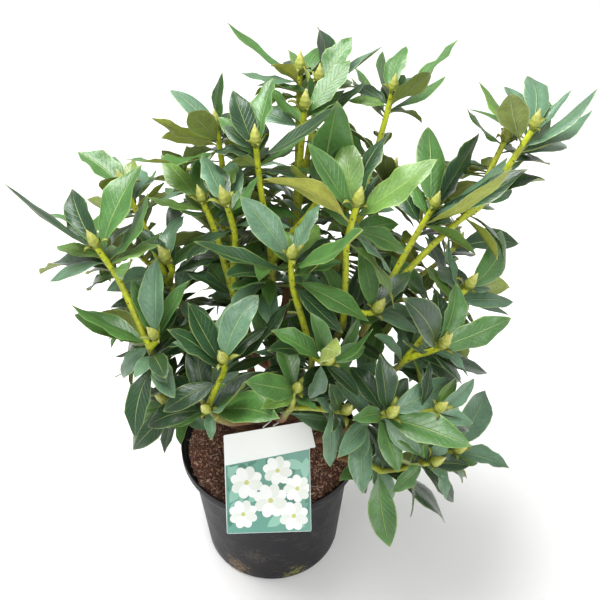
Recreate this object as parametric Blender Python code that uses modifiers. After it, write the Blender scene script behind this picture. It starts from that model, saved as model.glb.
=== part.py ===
"""A young rhododendron in a round nursery pot, with its picture label hung over the rim.

Metres, +Z up. The origin is the middle of the pot's flat underside. +X is to the right and
-Y is towards the person who looks at the label.
"""
import math
import random

import bmesh
import bpy
from mathutils import Matrix, Vector
from mathutils.bvhtree import BVHTree

# Pot
POT_HEIGHT = 0.185
RIM_RADIUS = 0.1125
LIP_DEPTH = 0.012
LIP_STEP = 0.0026
BASE_RADIUS = 0.0882
SHOULDER_HEIGHT = 0.152
SHOULDER_RADIUS = 0.1002
WALL = 0.0018
BASE_CORNER = 0.005
TURN_STEPS = 32
DRAIN_COUNT = 8
DRAIN_WIDTH = 0.014
DRAIN_HEIGHT = 0.005
DRAIN_LENGTH = 0.030
DRAIN_RING = 0.0745
DRAIN_LIFT = 0.0015

# Compost
SOIL_LEVEL = 0.176
SOIL_SAG = 0.0020
SOIL_FLAT_RADIUS = 0.030

# Label card, in its own plane: X right, Y up along the card from where it lies on the rim
CARD_THICKNESS = 0.0008
CARD_LEAN = math.radians(41.0)
CARD_FOOT = -0.023
CARD_LEFT = -0.048
CARD_RIGHT = 0.0505
CARD_BAND_FOOT = 0.077
CARD_TOP_LEFT = 0.091
CARD_TOP_RIGHT = 0.108
CARD_JUT = 0.005
STRAP_RADIUS = 0.0008
STRAP_SLACK = 0.0019

# Limbs
STEM_TOP = 0.246
STEM_FOOT_RADIUS = 0.0110
STEM_TOP_RADIUS = 0.0085
FLARE_RADIUS = 0.0155
FLARE_HEIGHT = 0.014
BOUGH_RISE = 0.55
STRAIGHT_END = 0.005
GAP = 0.0003

# Shoots, leaves and buds
TWIG_FOOT_RADIUS = 0.0034
TWIG_TIP_RADIUS = 0.0027
LONGEST_LEAF = 0.125
SHORTEST_LEAF = 0.062
SEEN_TILTS = (0, 15, -15, 30, -30, 45, -45)
SEEN_STEPS = 60
SEEN_CHOICES = 14
NUDGES = ((0, 0), (0, 1), (0, -1), (4, 2), (-4, 0), (8, 0), (-8, 1))
HIDDEN = -0.2
ROLL_COST = 0.05
EDGE_ON = 0.55
EDGE_ON_BEND = -0.8
LEAF_WIDTH_SHARE = 0.38
LEAF_KEEL = 0.0017
LEAF_ROOT = 0.0009
LEAF_NECK = 0.14
LEAF_WIDEST = 0.56
LEAVES_PER_SHOOT = 7
TOP_LEAF = 0.062
LEAF_GROWTH = 0.0042
FIRST_LEAF_BACK = 0.005
LEAF_SPACING = 0.0038
GOLDEN_ANGLE = math.radians(137.5)
PITCH_TOP = math.radians(52)
PITCH_STEP = math.radians(8.5)
PITCH_LOW = math.radians(-12)
BUD_LENGTH = 0.025
BUD_RADIUS = 0.0060
CLEARANCE = 0.0006
OVERREACH = 0.035
SEED = 7

# The leaves that shape the outline are given by how they look to somebody who looks down at
# the plant from the label's side at this angle and from this place.
FRONT_PITCH = math.radians(41.4)
SEEN_RIGHT = Vector((1, 0, 0))
SEEN_UP = Vector((0, math.sin(FRONT_PITCH), math.cos(FRONT_PITCH)))
TOWARDS_EYE = Vector((0, -math.cos(FRONT_PITCH), math.sin(FRONT_PITCH)))
EYE = Vector((0.037, -0.737, 1.067))
SEEN_FROM = 0.9

# Round gaps in and round the crown, where the ground shows through, and the places of the label
# and of the bare compost: right of and above the middle of the view, and radius, in millimetres as
# seen from SEEN_FROM metres. No leaf of the rule grows there; only the listed ones may reach in.
GAPS = (
    (-270, 190, 75), (-188, 195, 38), (-150, 230, 26), (-110, 238, 26), (-85, 255, 17), (-15, 267, 16),
    (62, 274, 12), (127, 252, 9), (65, 182, 16), (102, 170, 16), (140, 195, 22), (152, 150, 10),
    (187, 160, 12), (190, 250, 30), (255, 238, 20), (280, 145, 20), (260, 80, 50), (207, 83, 10),
    (240, 35, 32), (245, -30, 33), (260, -100, 60), (166, 38, 8), (125, 38, 9), (117, 23, 7),
    (180, -13, 7), (85, -53, 11), (110, -52, 8), (200, -65, 22), (212, -112, 24), (105, -148, 8),
    (187, -202, 28), (140, -245, 24), (62, -212, 17), (45, -190, 10), (-255, -20, 34), (-270, 48, 12),
    (-226, 12, 12), (-167, 32, 12), (-172, 74, 9), (-135, 80, 9), (-107, 76, 8), (-124, 23, 9),
    (-147, 130, 8), (-105, 128, 6), (-15, 172, 8), (-17, 150, 8), (-16, 87, 7), (-120, -58, 8),
    (-107, -80, 7), (-202, -62, 14), (-205, -110, 34), (-150, -77, 11), (-150, -165, 21),
    (-124, -157, 7), (-52, -140, 26), (-8, -134, 28), (-30, -180, 46), (-94, -158, 24), (34, -176, 14))

UP = Vector((0, 0, 1))


# Scene helpers

def clear_scene():
    """Remove what the file opened with."""
    for thing in list(bpy.data.objects):
        bpy.data.objects.remove(thing, do_unlink=True)


def new_collection(name):
    """Make a collection in the scene."""
    group = bpy.data.collections.new(name)
    bpy.context.scene.collection.children.link(group)
    return group


def material(name, colour, roughness, metallic=0.0):
    """A Principled BSDF in one colour."""
    made = bpy.data.materials.new(name)
    made.use_nodes = True
    shader = made.node_tree.nodes["Principled BSDF"]
    shader.inputs["Base Color"].default_value = (*colour, 1.0)
    shader.inputs["Roughness"].default_value = roughness
    shader.inputs["Metallic"].default_value = metallic
    return made


def add_mesh(name, mesh, group, finish=None):
    """Put a mesh in the scene as an object."""
    thing = bpy.data.objects.new(name, mesh)
    group.objects.link(thing)
    if finish:
        thing.data.materials.append(finish)
    return thing


def baked(thing, name, group, finish=None):
    """A plain mesh object from a curve or from an object with modifiers, which is removed."""
    evaluated = thing.evaluated_get(bpy.context.evaluated_depsgraph_get())
    mesh = bpy.data.meshes.new_from_object(evaluated)
    place = thing.matrix_world.copy()
    bpy.data.objects.remove(thing, do_unlink=True)
    work = bmesh.new()
    work.from_mesh(mesh)
    bmesh.ops.remove_doubles(work, verts=work.verts, dist=1e-6)
    work.to_mesh(mesh)
    work.free()
    mesh.materials.clear()
    made = add_mesh(name, mesh, group, finish)
    made.matrix_world = place
    return made


def as_cutter(thing):
    """A cutter isn't part of the plant."""
    thing.hide_render = True
    thing.display_type = "WIRE"
    return thing


def cut(thing, cutter):
    """Cut one object out of another."""
    step = thing.modifiers.new("cut", "BOOLEAN")
    step.operation = "DIFFERENCE"
    step.object = cutter


def turned(name, profile, group, finish):
    """Turn a profile of (radius, height) points about Z."""
    mesh = bpy.data.meshes.new(name)
    edges = [(i, i + 1) for i in range(len(profile) - 1)]
    mesh.from_pydata([(radius, 0.0, height) for radius, height in profile], edges, [])
    thing = add_mesh(name, mesh, group, finish)
    screw = thing.modifiers.new("turn", "SCREW")
    screw.steps = TURN_STEPS
    screw.render_steps = TURN_STEPS
    screw.use_merge_vertices = True
    screw.merge_threshold = 0.00001
    return thing


def arc(centre, radius, start, end, count):
    """Points (radius, height) on an arc, with angles in degrees."""
    angles = [math.radians(start + (end - start) * i / count) for i in range(count + 1)]
    return [(centre[0] + radius * math.cos(a), centre[1] + radius * math.sin(a)) for a in angles]


# Pot and compost

def pot_inner_radius(height):
    """The wall's inner face."""
    if height > SHOULDER_HEIGHT:
        share = (height - SHOULDER_HEIGHT) / (POT_HEIGHT - SHOULDER_HEIGHT)
        return SHOULDER_RADIUS + (RIM_RADIUS - LIP_STEP - SHOULDER_RADIUS) * share ** 0.8 - WALL
    return BASE_RADIUS + (SHOULDER_RADIUS - BASE_RADIUS) * height / SHOULDER_HEIGHT - WALL


def make_pot(group, cutters, finish):
    """A thin drawn pot: rounded foot, straight taper, flared shoulder and a standing lip."""
    lip_foot = POT_HEIGHT - LIP_DEPTH
    heights = (0.165, SHOULDER_HEIGHT, BASE_CORNER)
    corner = (BASE_RADIUS - BASE_CORNER, BASE_CORNER)
    inner_corner = arc(corner, BASE_CORNER - WALL, -90, 0, 1)
    inside = [(0.0, WALL)] + inner_corner[:-1]
    inside += [(pot_inner_radius(z), z) for z in reversed(heights)]
    inside += [(RIM_RADIUS - LIP_STEP, lip_foot), (RIM_RADIUS - WALL - 0.0002, POT_HEIGHT - 0.002)]
    lip = [(RIM_RADIUS - WALL * 0.6, POT_HEIGHT), (RIM_RADIUS, POT_HEIGHT - 0.001)]
    lip += [(RIM_RADIUS, lip_foot + 0.001), (RIM_RADIUS - 0.001, lip_foot)]
    outside = [(pot_inner_radius(z) + WALL, z) for z in (lip_foot - 0.0005,) + heights]
    outside += arc(corner, BASE_CORNER, 0, -90, 2)[1:]
    pot = turned("pot", inside + lip + outside + [(0.0, 0.0)], group, finish)
    for index in range(DRAIN_COUNT):
        angle = math.tau * (index + 0.5) / DRAIN_COUNT
        bpy.ops.mesh.primitive_cube_add(size=1)
        slot = bpy.context.object
        slot.name = f"drain_cutter_{index}"
        slot.data.transform(Matrix.Diagonal((DRAIN_LENGTH, DRAIN_WIDTH, DRAIN_HEIGHT, 1)))
        slot.location = (
            DRAIN_RING * math.cos(angle), DRAIN_RING * math.sin(angle), DRAIN_LIFT + DRAIN_HEIGHT / 2)
        slot.rotation_euler.z = angle
        for group_of_slot in list(slot.users_collection):
            group_of_slot.objects.unlink(slot)
        cutters.objects.link(slot)
        cut(pot, as_cutter(slot))
    return pot


def make_compost(group, finish):
    """The pot's fill, a little lower at the wall than round the stem."""
    clear = GAP + 0.0001
    edge = SOIL_LEVEL - SOIL_SAG
    corner = (BASE_RADIUS - BASE_CORNER, BASE_CORNER)
    profile = [(0.0, SOIL_LEVEL), (SOIL_FLAT_RADIUS, SOIL_LEVEL), (0.07, SOIL_LEVEL - SOIL_SAG * 0.5)]
    profile += [(pot_inner_radius(0.170) - clear - 0.0008, edge)]
    profile += [(pot_inner_radius(z) - clear, z) for z in (0.165, SHOULDER_HEIGHT, BASE_CORNER)]
    profile += arc(corner, BASE_CORNER - WALL - clear, 0, -90, 1)[1:]
    profile += [(0.0, WALL + clear)]
    return turned("compost", profile, group, finish)


# Label

def card_place():
    """From the card's own plane to the pot: it lies on the front of the rim."""
    touch = Vector((0, -RIM_RADIUS - GAP, POT_HEIGHT))
    off_rim = Vector((0, -math.cos(CARD_LEAN), math.sin(CARD_LEAN))) * (CARD_THICKNESS / 2 + 0.0008)
    turn = Matrix.Rotation(math.pi / 2 - CARD_LEAN, 4, "X")
    return Matrix.Translation(touch + off_rim) @ turn


def make_card(group, finish):
    """A die-cut card: an upright picture with a slanted band over it."""
    outline = (
        (CARD_LEFT, CARD_FOOT - 0.001),
        (CARD_RIGHT, CARD_FOOT + 0.002),
        (CARD_RIGHT - 0.002, CARD_BAND_FOOT - 0.001),
        (CARD_RIGHT + CARD_JUT, CARD_BAND_FOOT),
        (CARD_RIGHT - 0.002, CARD_TOP_RIGHT),
        (CARD_LEFT - 0.004, CARD_TOP_LEFT),
    )
    curve = bpy.data.curves.new("label_card", "CURVE")
    curve.dimensions = "2D"
    curve.fill_mode = "BOTH"
    curve.extrude = CARD_THICKNESS / 2
    spline = curve.splines.new("POLY")
    spline.points.add(len(outline) - 1)
    for point, (x, y) in zip(spline.points, outline):
        point.co = (x, y, 0, 1)
    spline.use_cyclic_u = True
    flat = bpy.data.objects.new("label_outline", curve)
    bpy.context.scene.collection.objects.link(flat)
    flat.matrix_world = card_place()
    bpy.context.view_layer.update()
    return baked(flat, "label_card", group, finish)


def make_strap(group, finish, bough):
    """A thin loop from the card's top edge round a bough and back."""
    place = card_place()
    knot, along = point_on(bough["points"], 0.42)
    around = bough["radii"][0] + STRAP_RADIUS + STRAP_SLACK
    edge = CARD_TOP_LEFT + (CARD_TOP_RIGHT - CARD_TOP_LEFT) * 0.503 + STRAP_RADIUS + GAP
    foot_left = place @ Vector((-0.006, edge - 0.0005, 0))
    foot_right = place @ Vector((0.006, edge + 0.0016, 0))
    side = along.cross(place.to_3x3() @ Vector((0, 1, 0))).normalized()
    if side.x < 0:
        side.negate()
    back = side.cross(along).normalized()
    if back.y < 0:
        back.negate()
    ring = [math.radians(200 - 220 * i / 8) for i in range(9)]
    turns = [knot + (side * math.cos(a) + back * math.sin(a)) * around for a in ring]
    route = smooth_route([foot_left] + turns + [foot_right], 2)
    return make_tube("label_strap", route, [STRAP_RADIUS] * len(route), group, finish, 0)


def smooth_route(knots, between):
    """Points on a Catmull-Rom curve through the knots."""
    padded = [knots[0]] + list(knots) + [knots[-1]]
    route = []
    for i in range(1, len(padded) - 2):
        a, b, c, d = padded[i - 1:i + 3]
        for j in range(between):
            t = j / between
            route.append(0.5 * (2 * b + (c - a) * t + (2 * a - 5 * b + 4 * c - d) * t ** 2
                                + (3 * b - a - 3 * c + d) * t ** 3))
    return route + [knots[-1]]


# Limbs

def make_tube(name, points, radii, group, finish, resolution=1):
    """A tapering limb: a curve with a round bevel, made a mesh with welded caps."""
    curve = bpy.data.curves.new(name, "CURVE")
    curve.dimensions = "3D"
    curve.bevel_depth = 1.0
    curve.bevel_resolution = resolution
    curve.use_fill_caps = True
    spline = curve.splines.new("POLY")
    spline.points.add(len(points) - 1)
    for knot, point, radius in zip(spline.points, points, radii):
        knot.co = (*point, 1)
        knot.radius = radius
    limb = bpy.data.objects.new(name + "_path", curve)
    bpy.context.scene.collection.objects.link(limb)
    return baked(limb, name, group, finish)


def bent_path(start, start_way, end, end_way, steps):
    """Points on a smooth bend that leaves and arrives in the given directions."""
    pull = (end - start).length * 0.36
    a, b, c, d = start, start + start_way * pull, end - end_way * pull, end
    path = []
    for i in range(steps + 1):
        t = i / steps
        s = 1 - t
        path.append(a * s ** 3 + b * (3 * s * s * t) + c * (3 * s * t * t) + d * t ** 3)
    return path


def path_length(path):
    """The length of a path."""
    return sum((b - a).length for a, b in zip(path, path[1:]))


def point_on(path, share):
    """The point and direction at a share of a path's length."""
    left = share * path_length(path)
    for start, end in zip(path, path[1:]):
        step = end - start
        if left <= step.length or end is path[-1]:
            return start + step.normalized() * left, step.normalized()
        left -= step.length


def taper(first, last, count):
    """Radii that shrink evenly."""
    return [first + (last - first) * i / (count - 1) for i in range(count)]


class Plant:
    """The limbs and masses, in the order in which they grow."""

    def __init__(self):
        self.limbs = {}
        self.masses = {}

    def main_stem(self):
        """One short stem with a root flare, cut flat at the soil."""
        foot = SOIL_LEVEL + GAP
        heights = [foot, foot + FLARE_HEIGHT * 0.35, foot + FLARE_HEIGHT, 0.212, STEM_TOP]
        leans = [0.0, 0.0, 0.0002, 0.0012, 0.0026]
        radii = [FLARE_RADIUS, STEM_FOOT_RADIUS + 0.0016, STEM_FOOT_RADIUS, 0.0097, STEM_TOP_RADIUS]
        points = [Vector((x, 0, z)) for x, z in zip(leans, heights)]
        self.limbs["main_stem"] = {"points": points, "radii": radii, "parent": None, "way": UP}

    def bough(self, name, parent, share, tip, foot_radius, tip_radius=0.0038, rise=BOUGH_RISE):
        """One tapering limb that leaves its parent and bends upwards."""
        start, along = point_on(self.limbs[parent]["points"], share)
        tip = Vector(tip)
        way = (tip - start).normalized()
        foot = []
        if share >= 1:
            foot = [start + along * GAP]
            start = start + along * STRAIGHT_END
            leave = along
        else:
            outward = (way - along * way.dot(along)).normalized()
            leave = (outward + along * rise).normalized()
        arrive = (way + UP * 0.45).normalized()
        points = foot + bent_path(start, leave, tip - arrive * STRAIGHT_END, arrive, 4) + [tip]
        radii = taper(foot_radius, tip_radius, len(points))
        self.limbs[name] = {
            "points": points, "radii": radii, "parent": parent if share < 1 else None, "way": arrive}

    def mass(self, name, fork, seen=(), fill=3):
        """Start a mass of foliage at its bough's tip; its shoots part at the fork."""
        bough = self.limbs["bough_" + name]
        start = bough["points"][-1] + bough["way"] * GAP
        fork = Vector(fork)
        arrive = ((fork - start).normalized() + UP * 0.5).normalized()
        stem = [start] + bent_path(start + bough["way"] * STRAIGHT_END, bough["way"], fork, arrive, 2)
        twigs = [{
            "points": stem,
            "radii": taper(bough["radii"][-1] * 0.95, TWIG_FOOT_RADIUS, len(stem)),
            "way": arrive, "seen": seen, "fill": fill, "bud": False}]
        self.masses[name] = twigs

    def shoot(self, name, tip, seen=(), fill=LEAVES_PER_SHOOT, off=0, share=1.0):
        """A young shoot from the fork, or from the side of an earlier shoot, to its bud."""
        twigs = self.masses[name]
        start, along = point_on(twigs[off]["points"], share)
        start = start - along * 0.0015
        tip = Vector(tip)
        way = (tip - start).normalized()
        leave = (way + along * 0.4).normalized()
        arrive = shoot_axis(tip)
        points = bent_path(start, leave, tip, arrive, 3)
        radii = taper(TWIG_FOOT_RADIUS * 0.9, TWIG_TIP_RADIUS, len(points))
        twigs.append({
            "points": points, "radii": radii, "way": arrive, "seen": seen, "fill": fill, "bud": True})


def shoot_axis(tip):
    """Shoots stand nearly upright at the top of the crown and lean out low on its sides."""
    share = min(max((tip.z - 0.28) / 0.32, 0), 1)
    lean = math.radians(62 - 48 * share)
    outward = Vector((tip.x, tip.y, 0))
    outward = outward.normalized() if outward.length > 0.01 else Vector((0, -1, 0))
    return (outward * math.sin(lean) + UP * math.cos(lean)).normalized()


def describe_plant():
    """Where the limbs run and where each shoot ends.

    seen lists the leaves that show from the front, from the topmost down. Each has how far right
    of and above the shoot's end its tip shows, in millimetres as seen from SEEN_FROM metres, and
    how much of its face shows: 1 is all of the upper face, 0 its edge and -1 all of the underside.
    """
    plant = Plant()
    plant.main_stem()
    stem = "main_stem"

    plant.bough("bough_centre", stem, 1.0, (0.007, 0.000, 0.428), 0.0078, 0.0042)
    plant.mass("centre", (0.007, 0.012, 0.462), fill=4)
    plant.shoot("centre", (-0.007, 0.040, 0.588),
                ((22, 66, 0.65), (-24, 55, 0.95), (81, 39, 0.40), (-38, 28, 0.80), (50, 12, 0.45),
                 (-26, -19, -0.70)))
    plant.shoot("centre", (0.064, 0.030, 0.547), ((14, 84, 0.80), (-36, 20, -0.50)), fill=7)

    plant.bough("bough_centre_left", "bough_centre", 0.36, (-0.026, -0.006, 0.400), 0.0048)
    plant.mass("centre_left", (-0.035, -0.006, 0.432), ((-45, 20, 0.70), (-25, -2, 0.60)), fill=4)
    plant.shoot("centre_left", (-0.062, 0.020, 0.533),
                ((-41, 49, 0.85), (-54, 4, 0.40), (-23, -13, 0.45)))
    plant.shoot("centre_left", (-0.036, 0.000, 0.544), ((-25, 50, 0.85), (30, 30, 0.50)))

    plant.bough("bough_top", "bough_centre", 0.55, (0.029, 0.046, 0.452), 0.0046)
    plant.mass("top", (0.033, 0.058, 0.480), fill=3)
    plant.shoot("top", (0.057, 0.130, 0.610), ((3, 54, 0.80), (35, 44, 0.80), (63, 36, 0.25)))
    plant.shoot("top", (0.042, 0.095, 0.597),
                ((-1, 43, 0.60), (43, 52, 0.80), (63, 28, 0.45), (-43, 27, 0.50)))
    plant.shoot("top", (0.037, 0.155, 0.608), ((-72, 51, 0.30), (-58, 0, 0.50), (-28, 8, -0.60)))

    plant.bough("bough_back_left", stem, 0.50, (-0.033, 0.062, 0.420), 0.0052)
    plant.mass("back_left", (-0.041, 0.072, 0.450), fill=3)
    plant.shoot("back_left", (-0.050, 0.090, 0.578),
                ((6, 56, 0.50), (-47, 38, 0.75), (-66, 10, -0.50), (-29, 15, -0.90),
                 (-56, -10, -0.60), (-92, -31, 0.20), (-34, -39, -0.60)))
    plant.shoot("back_left", (-0.100, 0.165, 0.470))
    plant.shoot("back_left", (-0.037, 0.185, 0.485), fill=8)

    plant.bough("bough_back_right", "bough_centre", 0.12, (0.081, 0.056, 0.430), 0.0050)
    plant.mass("back_right", (0.093, 0.066, 0.462), fill=3)
    plant.shoot("back_right", (0.135, 0.120, 0.604),
                ((10, 47, 0.85), (-9, 41, 0.50), (64, 53, 0.35), (38, 20, -0.70), (54, 14, 0.40),
                 (-39, 24, 0.35), (-42, 14, 0.25)))
    plant.shoot("back_right", (0.150, 0.190, 0.455))
    plant.shoot("back_right", (0.083, 0.190, 0.470), fill=8)

    plant.bough("bough_centre_right", stem, 0.61, (0.079, -0.040, 0.405), 0.0054)
    plant.mass("centre_right", (0.083, -0.042, 0.440),
               ((-26, 53, 0.75), (20, 53, 0.40), (-41, 30, 0.60), (62, 20, 0.70), (-21, -13, 0.90)),
               fill=2)
    plant.shoot("centre_right", (0.091, -0.040, 0.572),
                ((-12, 69, 1.00), (32, 73, 0.60), (-50, 62, 0.70), (80, 46, 0.60), (22, 29, 0.50),
                 (-94, 25, -0.60)))
    plant.shoot("centre_right", (0.115, -0.050, 0.445),
                ((-15, 65, 0.70), (34, 42, 0.85), (44, -22, 0.70), (-40, -35, 0.60)), fill=6)

    plant.bough("bough_centre_front", "bough_centre_right", 0.42, (0.049, -0.066, 0.372), 0.0042)
    plant.mass("centre_front", (0.050, -0.072, 0.402), ((-45, 5, 0.70),), fill=2)
    plant.shoot("centre_front", (0.029, -0.060, 0.525),
                ((-51, 62, 0.95), (30, 54, 0.70), (81, 29, 0.35), (-28, 22, -0.80),
                 (-98, 15, 0.45), (26, -7, 0.50)))
    plant.shoot("centre_front", (0.065, -0.110, 0.432),
                ((-13, 43, 0.80), (44, 34, 0.50), (-57, 32, 0.75), (12, 10, -0.50), (-20, -26, 0.90)))

    plant.bough("bough_right", stem, 0.42, (0.111, -0.014, 0.395), 0.0054)
    plant.mass("right", (0.123, -0.012, 0.428), ((10, 45, 0.80),), fill=3)
    plant.shoot("right", (0.174, 0.020, 0.526),
                ((-7, 81, 0.95), (46, 75, 0.60), (74, 51, 0.50), (9, 38, -0.80), (79, 41, -0.40),
                 (-22, 16, -0.70), (92, 44, 0.50)))
    plant.shoot("right", (0.273, 0.060, 0.595),
                ((-7, 53, 0.80), (-28, 43, 0.60), (-54, 47, 0.35), (38, 39, 0.40), (-24, 35, -0.90),
                 (64, 40, 0.35), (60, 18, 0.40), (14, 29, 0.40), (30, -16, 0.60)), off=0)
    plant.shoot("right", (0.253, 0.085, 0.567), ((-39, 31, 0.30), (13, -14, 0.60)),
                fill=5, off=2, share=0.55)
    plant.shoot("right", (0.233, 0.046, 0.516), ((60, 22, 0.60), (42, 38, 0.60)),
                fill=3, off=2, share=0.5)

    plant.bough("bough_right_side", "bough_right", 0.48, (0.137, -0.058, 0.366), 0.0042)
    plant.mass("right_side", (0.149, -0.062, 0.388), ((-30, 25, 0.60),), fill=3)
    plant.shoot("right_side", (0.181, -0.080, 0.424),
                ((15, 64, 0.75), (-38, 49, 0.85), (70, 30, 0.85), (-39, 5, 0.50), (22, -10, 0.60),
                 (47, -25, 0.60)))
    plant.shoot("right_side", (0.213, -0.020, 0.452),
                ((31, 59, 0.80), (-20, 47, 0.35), (-25, 24, 0.80), (42, 1, -0.70), (46, -15, 0.70),
                 (-40, 19, 0.60)))

    plant.bough("bough_front_right", stem, 0.30, (0.101, -0.094, 0.322), 0.0054, rise=0.4)
    plant.mass("front_right", (0.115, -0.108, 0.348), fill=3)
    plant.shoot("front_right", (0.128, -0.130, 0.377),
                ((-12, 61, 0.90), (-39, 48, 0.85), (64, 35, 1.00), (-37, -8, 1.00), (36, -42, 0.95),
                 (82, -31, 0.80), (9, -58, 0.95)))
    plant.shoot("front_right", (0.177, -0.124, 0.377), ((37, 32, 0.80), (30, -10, 0.70)), fill=7)

    plant.bough("bough_front", stem, 0.71, (0.021, -0.078, 0.318), 0.0048, rise=1.3)
    plant.mass("front", (0.029, -0.092, 0.346), fill=3)
    plant.shoot("front", (0.034, -0.110, 0.392),
                ((-52, 8, 0.90), (-35, -20, 0.90), (30, 20, 0.90), (20, -20, 0.60)), fill=7)
    plant.shoot("front", (0.083, -0.120, 0.370),
                ((-15, 28, 0.90), (20, 25, 0.80), (-30, 12, 0.80), (-10, -20, 0.60),
                 (-12, -55, 0.80)), fill=5)

    plant.bough("bough_low_right", "bough_front_right", 0.40, (0.107, -0.088, 0.250), 0.0042)
    plant.mass("low_right", (0.130, -0.102, 0.248),
               ((10, -75, 1.00), (63, -51, 0.60), (-42, 22, 0.70), (-42, -9, 0.70), (-18, -22, 0.60)),
               fill=2)
    plant.shoot("low_right", (0.183, -0.110, 0.274),
                ((-4, 31, 0.50), (-35, 0, 0.30), (-39, -31, 0.80), (20, -41, 0.70)), fill=8)
    plant.shoot("low_right", (0.212, -0.090, 0.270),
                ((30, 61, 0.95), (54, -17, 0.80), (7, -32, 0.65)), fill=7)

    plant.bough("bough_front_left", stem, 0.51, (-0.055, -0.096, 0.336), 0.0050, rise=1.7)
    plant.mass("front_left", (-0.060, -0.110, 0.362), ((73, -12, 0.85), (-41, -16, 0.95)), fill=1)
    plant.shoot("front_left", (-0.058, -0.116, 0.367), ((37, 29, 0.40), (0, -22, 0.95)), fill=2)
    plant.shoot("front_left", (-0.038, -0.108, 0.432),
                ((34, 66, 0.85), (9, 58, 0.65), (-36, 59, 0.85), (67, 59, 0.50), (-56, 33, 0.60),
                 (-50, 18, 0.85), (51, 6, 0.60), (-2, -18, -0.60)))

    plant.bough("bough_left", stem, 0.33, (-0.113, -0.066, 0.384), 0.0054)
    plant.mass("left", (-0.119, -0.069, 0.412), fill=2)
    plant.shoot("left", (-0.110, -0.070, 0.427),
                ((-1, 81, 0.80), (-24, 59, 0.70), (35, 57, 0.70), (10, 39, 0.50), (-85, 33, 0.40),
                 (-82, 24, 0.85), (-57, 24, -0.95), (-32, -40, 0.80)))
    plant.shoot("left", (-0.166, -0.030, 0.515),
                ((-92, 61, 0.25), (42, 84, 0.80), (-26, 57, 0.95), (-34, 51, 0.60), (51, 54, 0.40),
                 (64, 14, 0.35), (34, -15, 0.50), (-56, -29, 0.55)), fill=9)

    plant.bough("bough_low_left", "bough_left", 0.38, (-0.089, -0.052, 0.292), 0.0042)
    plant.mass("low_left", (-0.101, -0.056, 0.306), fill=2)
    plant.shoot("low_left", (-0.111, -0.060, 0.320),
                ((14, 35, 0.80), (-32, 17, 0.60), (-35, -30, 0.85), (-3, -50, 0.70), (30, -10, 0.80)),
                fill=6)
    plant.shoot("low_left", (-0.125, 0.000, 0.335), fill=6)

    plant.bough("bough_left_back", stem, 0.70, (-0.095, 0.018, 0.392), 0.0052)
    plant.mass("left_back", (-0.107, 0.020, 0.424), fill=3)
    plant.shoot("left_back", (-0.103, 0.006, 0.466),
                ((15, 46, 0.70), (-31, 38, 0.80), (29, 18, 0.60)), fill=7)
    plant.shoot("left_back", (-0.149, 0.060, 0.521),
                ((-48, 37, 0.85), (-13, 33, 0.90), (31, 20, 0.25), (-21, 14, -0.80), (39, 8, -0.40),
                 (-38, -9, -0.50), (27, -19, -0.70)), fill=8)
    plant.shoot("left_back", (-0.160, 0.085, 0.430), fill=7)

    plant.bough("bough_left_low", "bough_left_back", 0.34, (-0.099, 0.034, 0.300), 0.0042)
    plant.mass("left_low", (-0.115, 0.040, 0.318), fill=3)
    plant.shoot("left_low", (-0.150, 0.030, 0.372), fill=8)
    plant.shoot("left_low", (-0.140, 0.105, 0.350), fill=8)

    plant.bough("bough_back", stem, 0.29, (-0.003, 0.104, 0.336), 0.0052)
    plant.mass("back", (-0.005, 0.122, 0.360), fill=4)
    plant.shoot("back", (-0.017, 0.205, 0.400), fill=9)
    plant.shoot("back", (0.033, 0.165, 0.430), fill=9)
    plant.shoot("back", (-0.072, 0.170, 0.385), fill=8)

    plant.bough("bough_back_low", "bough_back", 0.36, (0.061, 0.092, 0.296), 0.0042)
    plant.mass("back_low", (0.073, 0.108, 0.312), fill=3)
    plant.shoot("back_low", (0.101, 0.180, 0.366), fill=9)
    plant.shoot("back_low", (0.023, 0.190, 0.310), fill=7)

    plant.bough("bough_right_back", stem, 0.24, (0.121, 0.052, 0.340), 0.0052)
    plant.mass("right_back", (0.137, 0.060, 0.364), fill=4)
    plant.shoot("right_back", (0.223, 0.110, 0.406), ((63, 3, 0.80), (-30, -8, -0.40)), fill=9)
    plant.shoot("right_back", (0.218, 0.045, 0.385), fill=9)
    plant.shoot("right_back", (0.163, 0.135, 0.360), fill=8)
    return plant


# Growth rule

def tube_rings(points, radii, sides):
    """Rings of points round a path, carried along it without twisting."""
    rings = []
    side = None
    last = len(points) - 1
    for i, point in enumerate(points):
        along = (points[min(i + 1, last)] - points[max(i - 1, 0)]).normalized()
        if side is None:
            side = along.orthogonal().normalized()
        side = (side - along * side.dot(along)).normalized()
        other = along.cross(side)
        turns = [math.tau * k / sides for k in range(sides)]
        rings.append([point + (side * math.cos(a) + other * math.sin(a)) * radii[i] for a in turns])
    return rings


def loft(rings):
    """Points and faces of a closed skin over rings; the last ring may be a single point."""
    points = [point for ring in rings for point in ring]
    sides = len(rings[0])
    faces = [tuple(range(sides))[::-1]]
    for i in range(len(rings) - 1):
        low = i * sides
        high = low + sides
        for j in range(sides):
            k = (j + 1) % sides
            if len(rings[i + 1]) == 1:
                faces.append((low + j, low + k, high))
            else:
                faces.append((low + j, low + k, high + k, high + j))
    if len(rings[-1]) > 1:
        low = (len(rings) - 1) * sides
        faces.append(tuple(low + j for j in range(sides)))
    return points, faces


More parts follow.
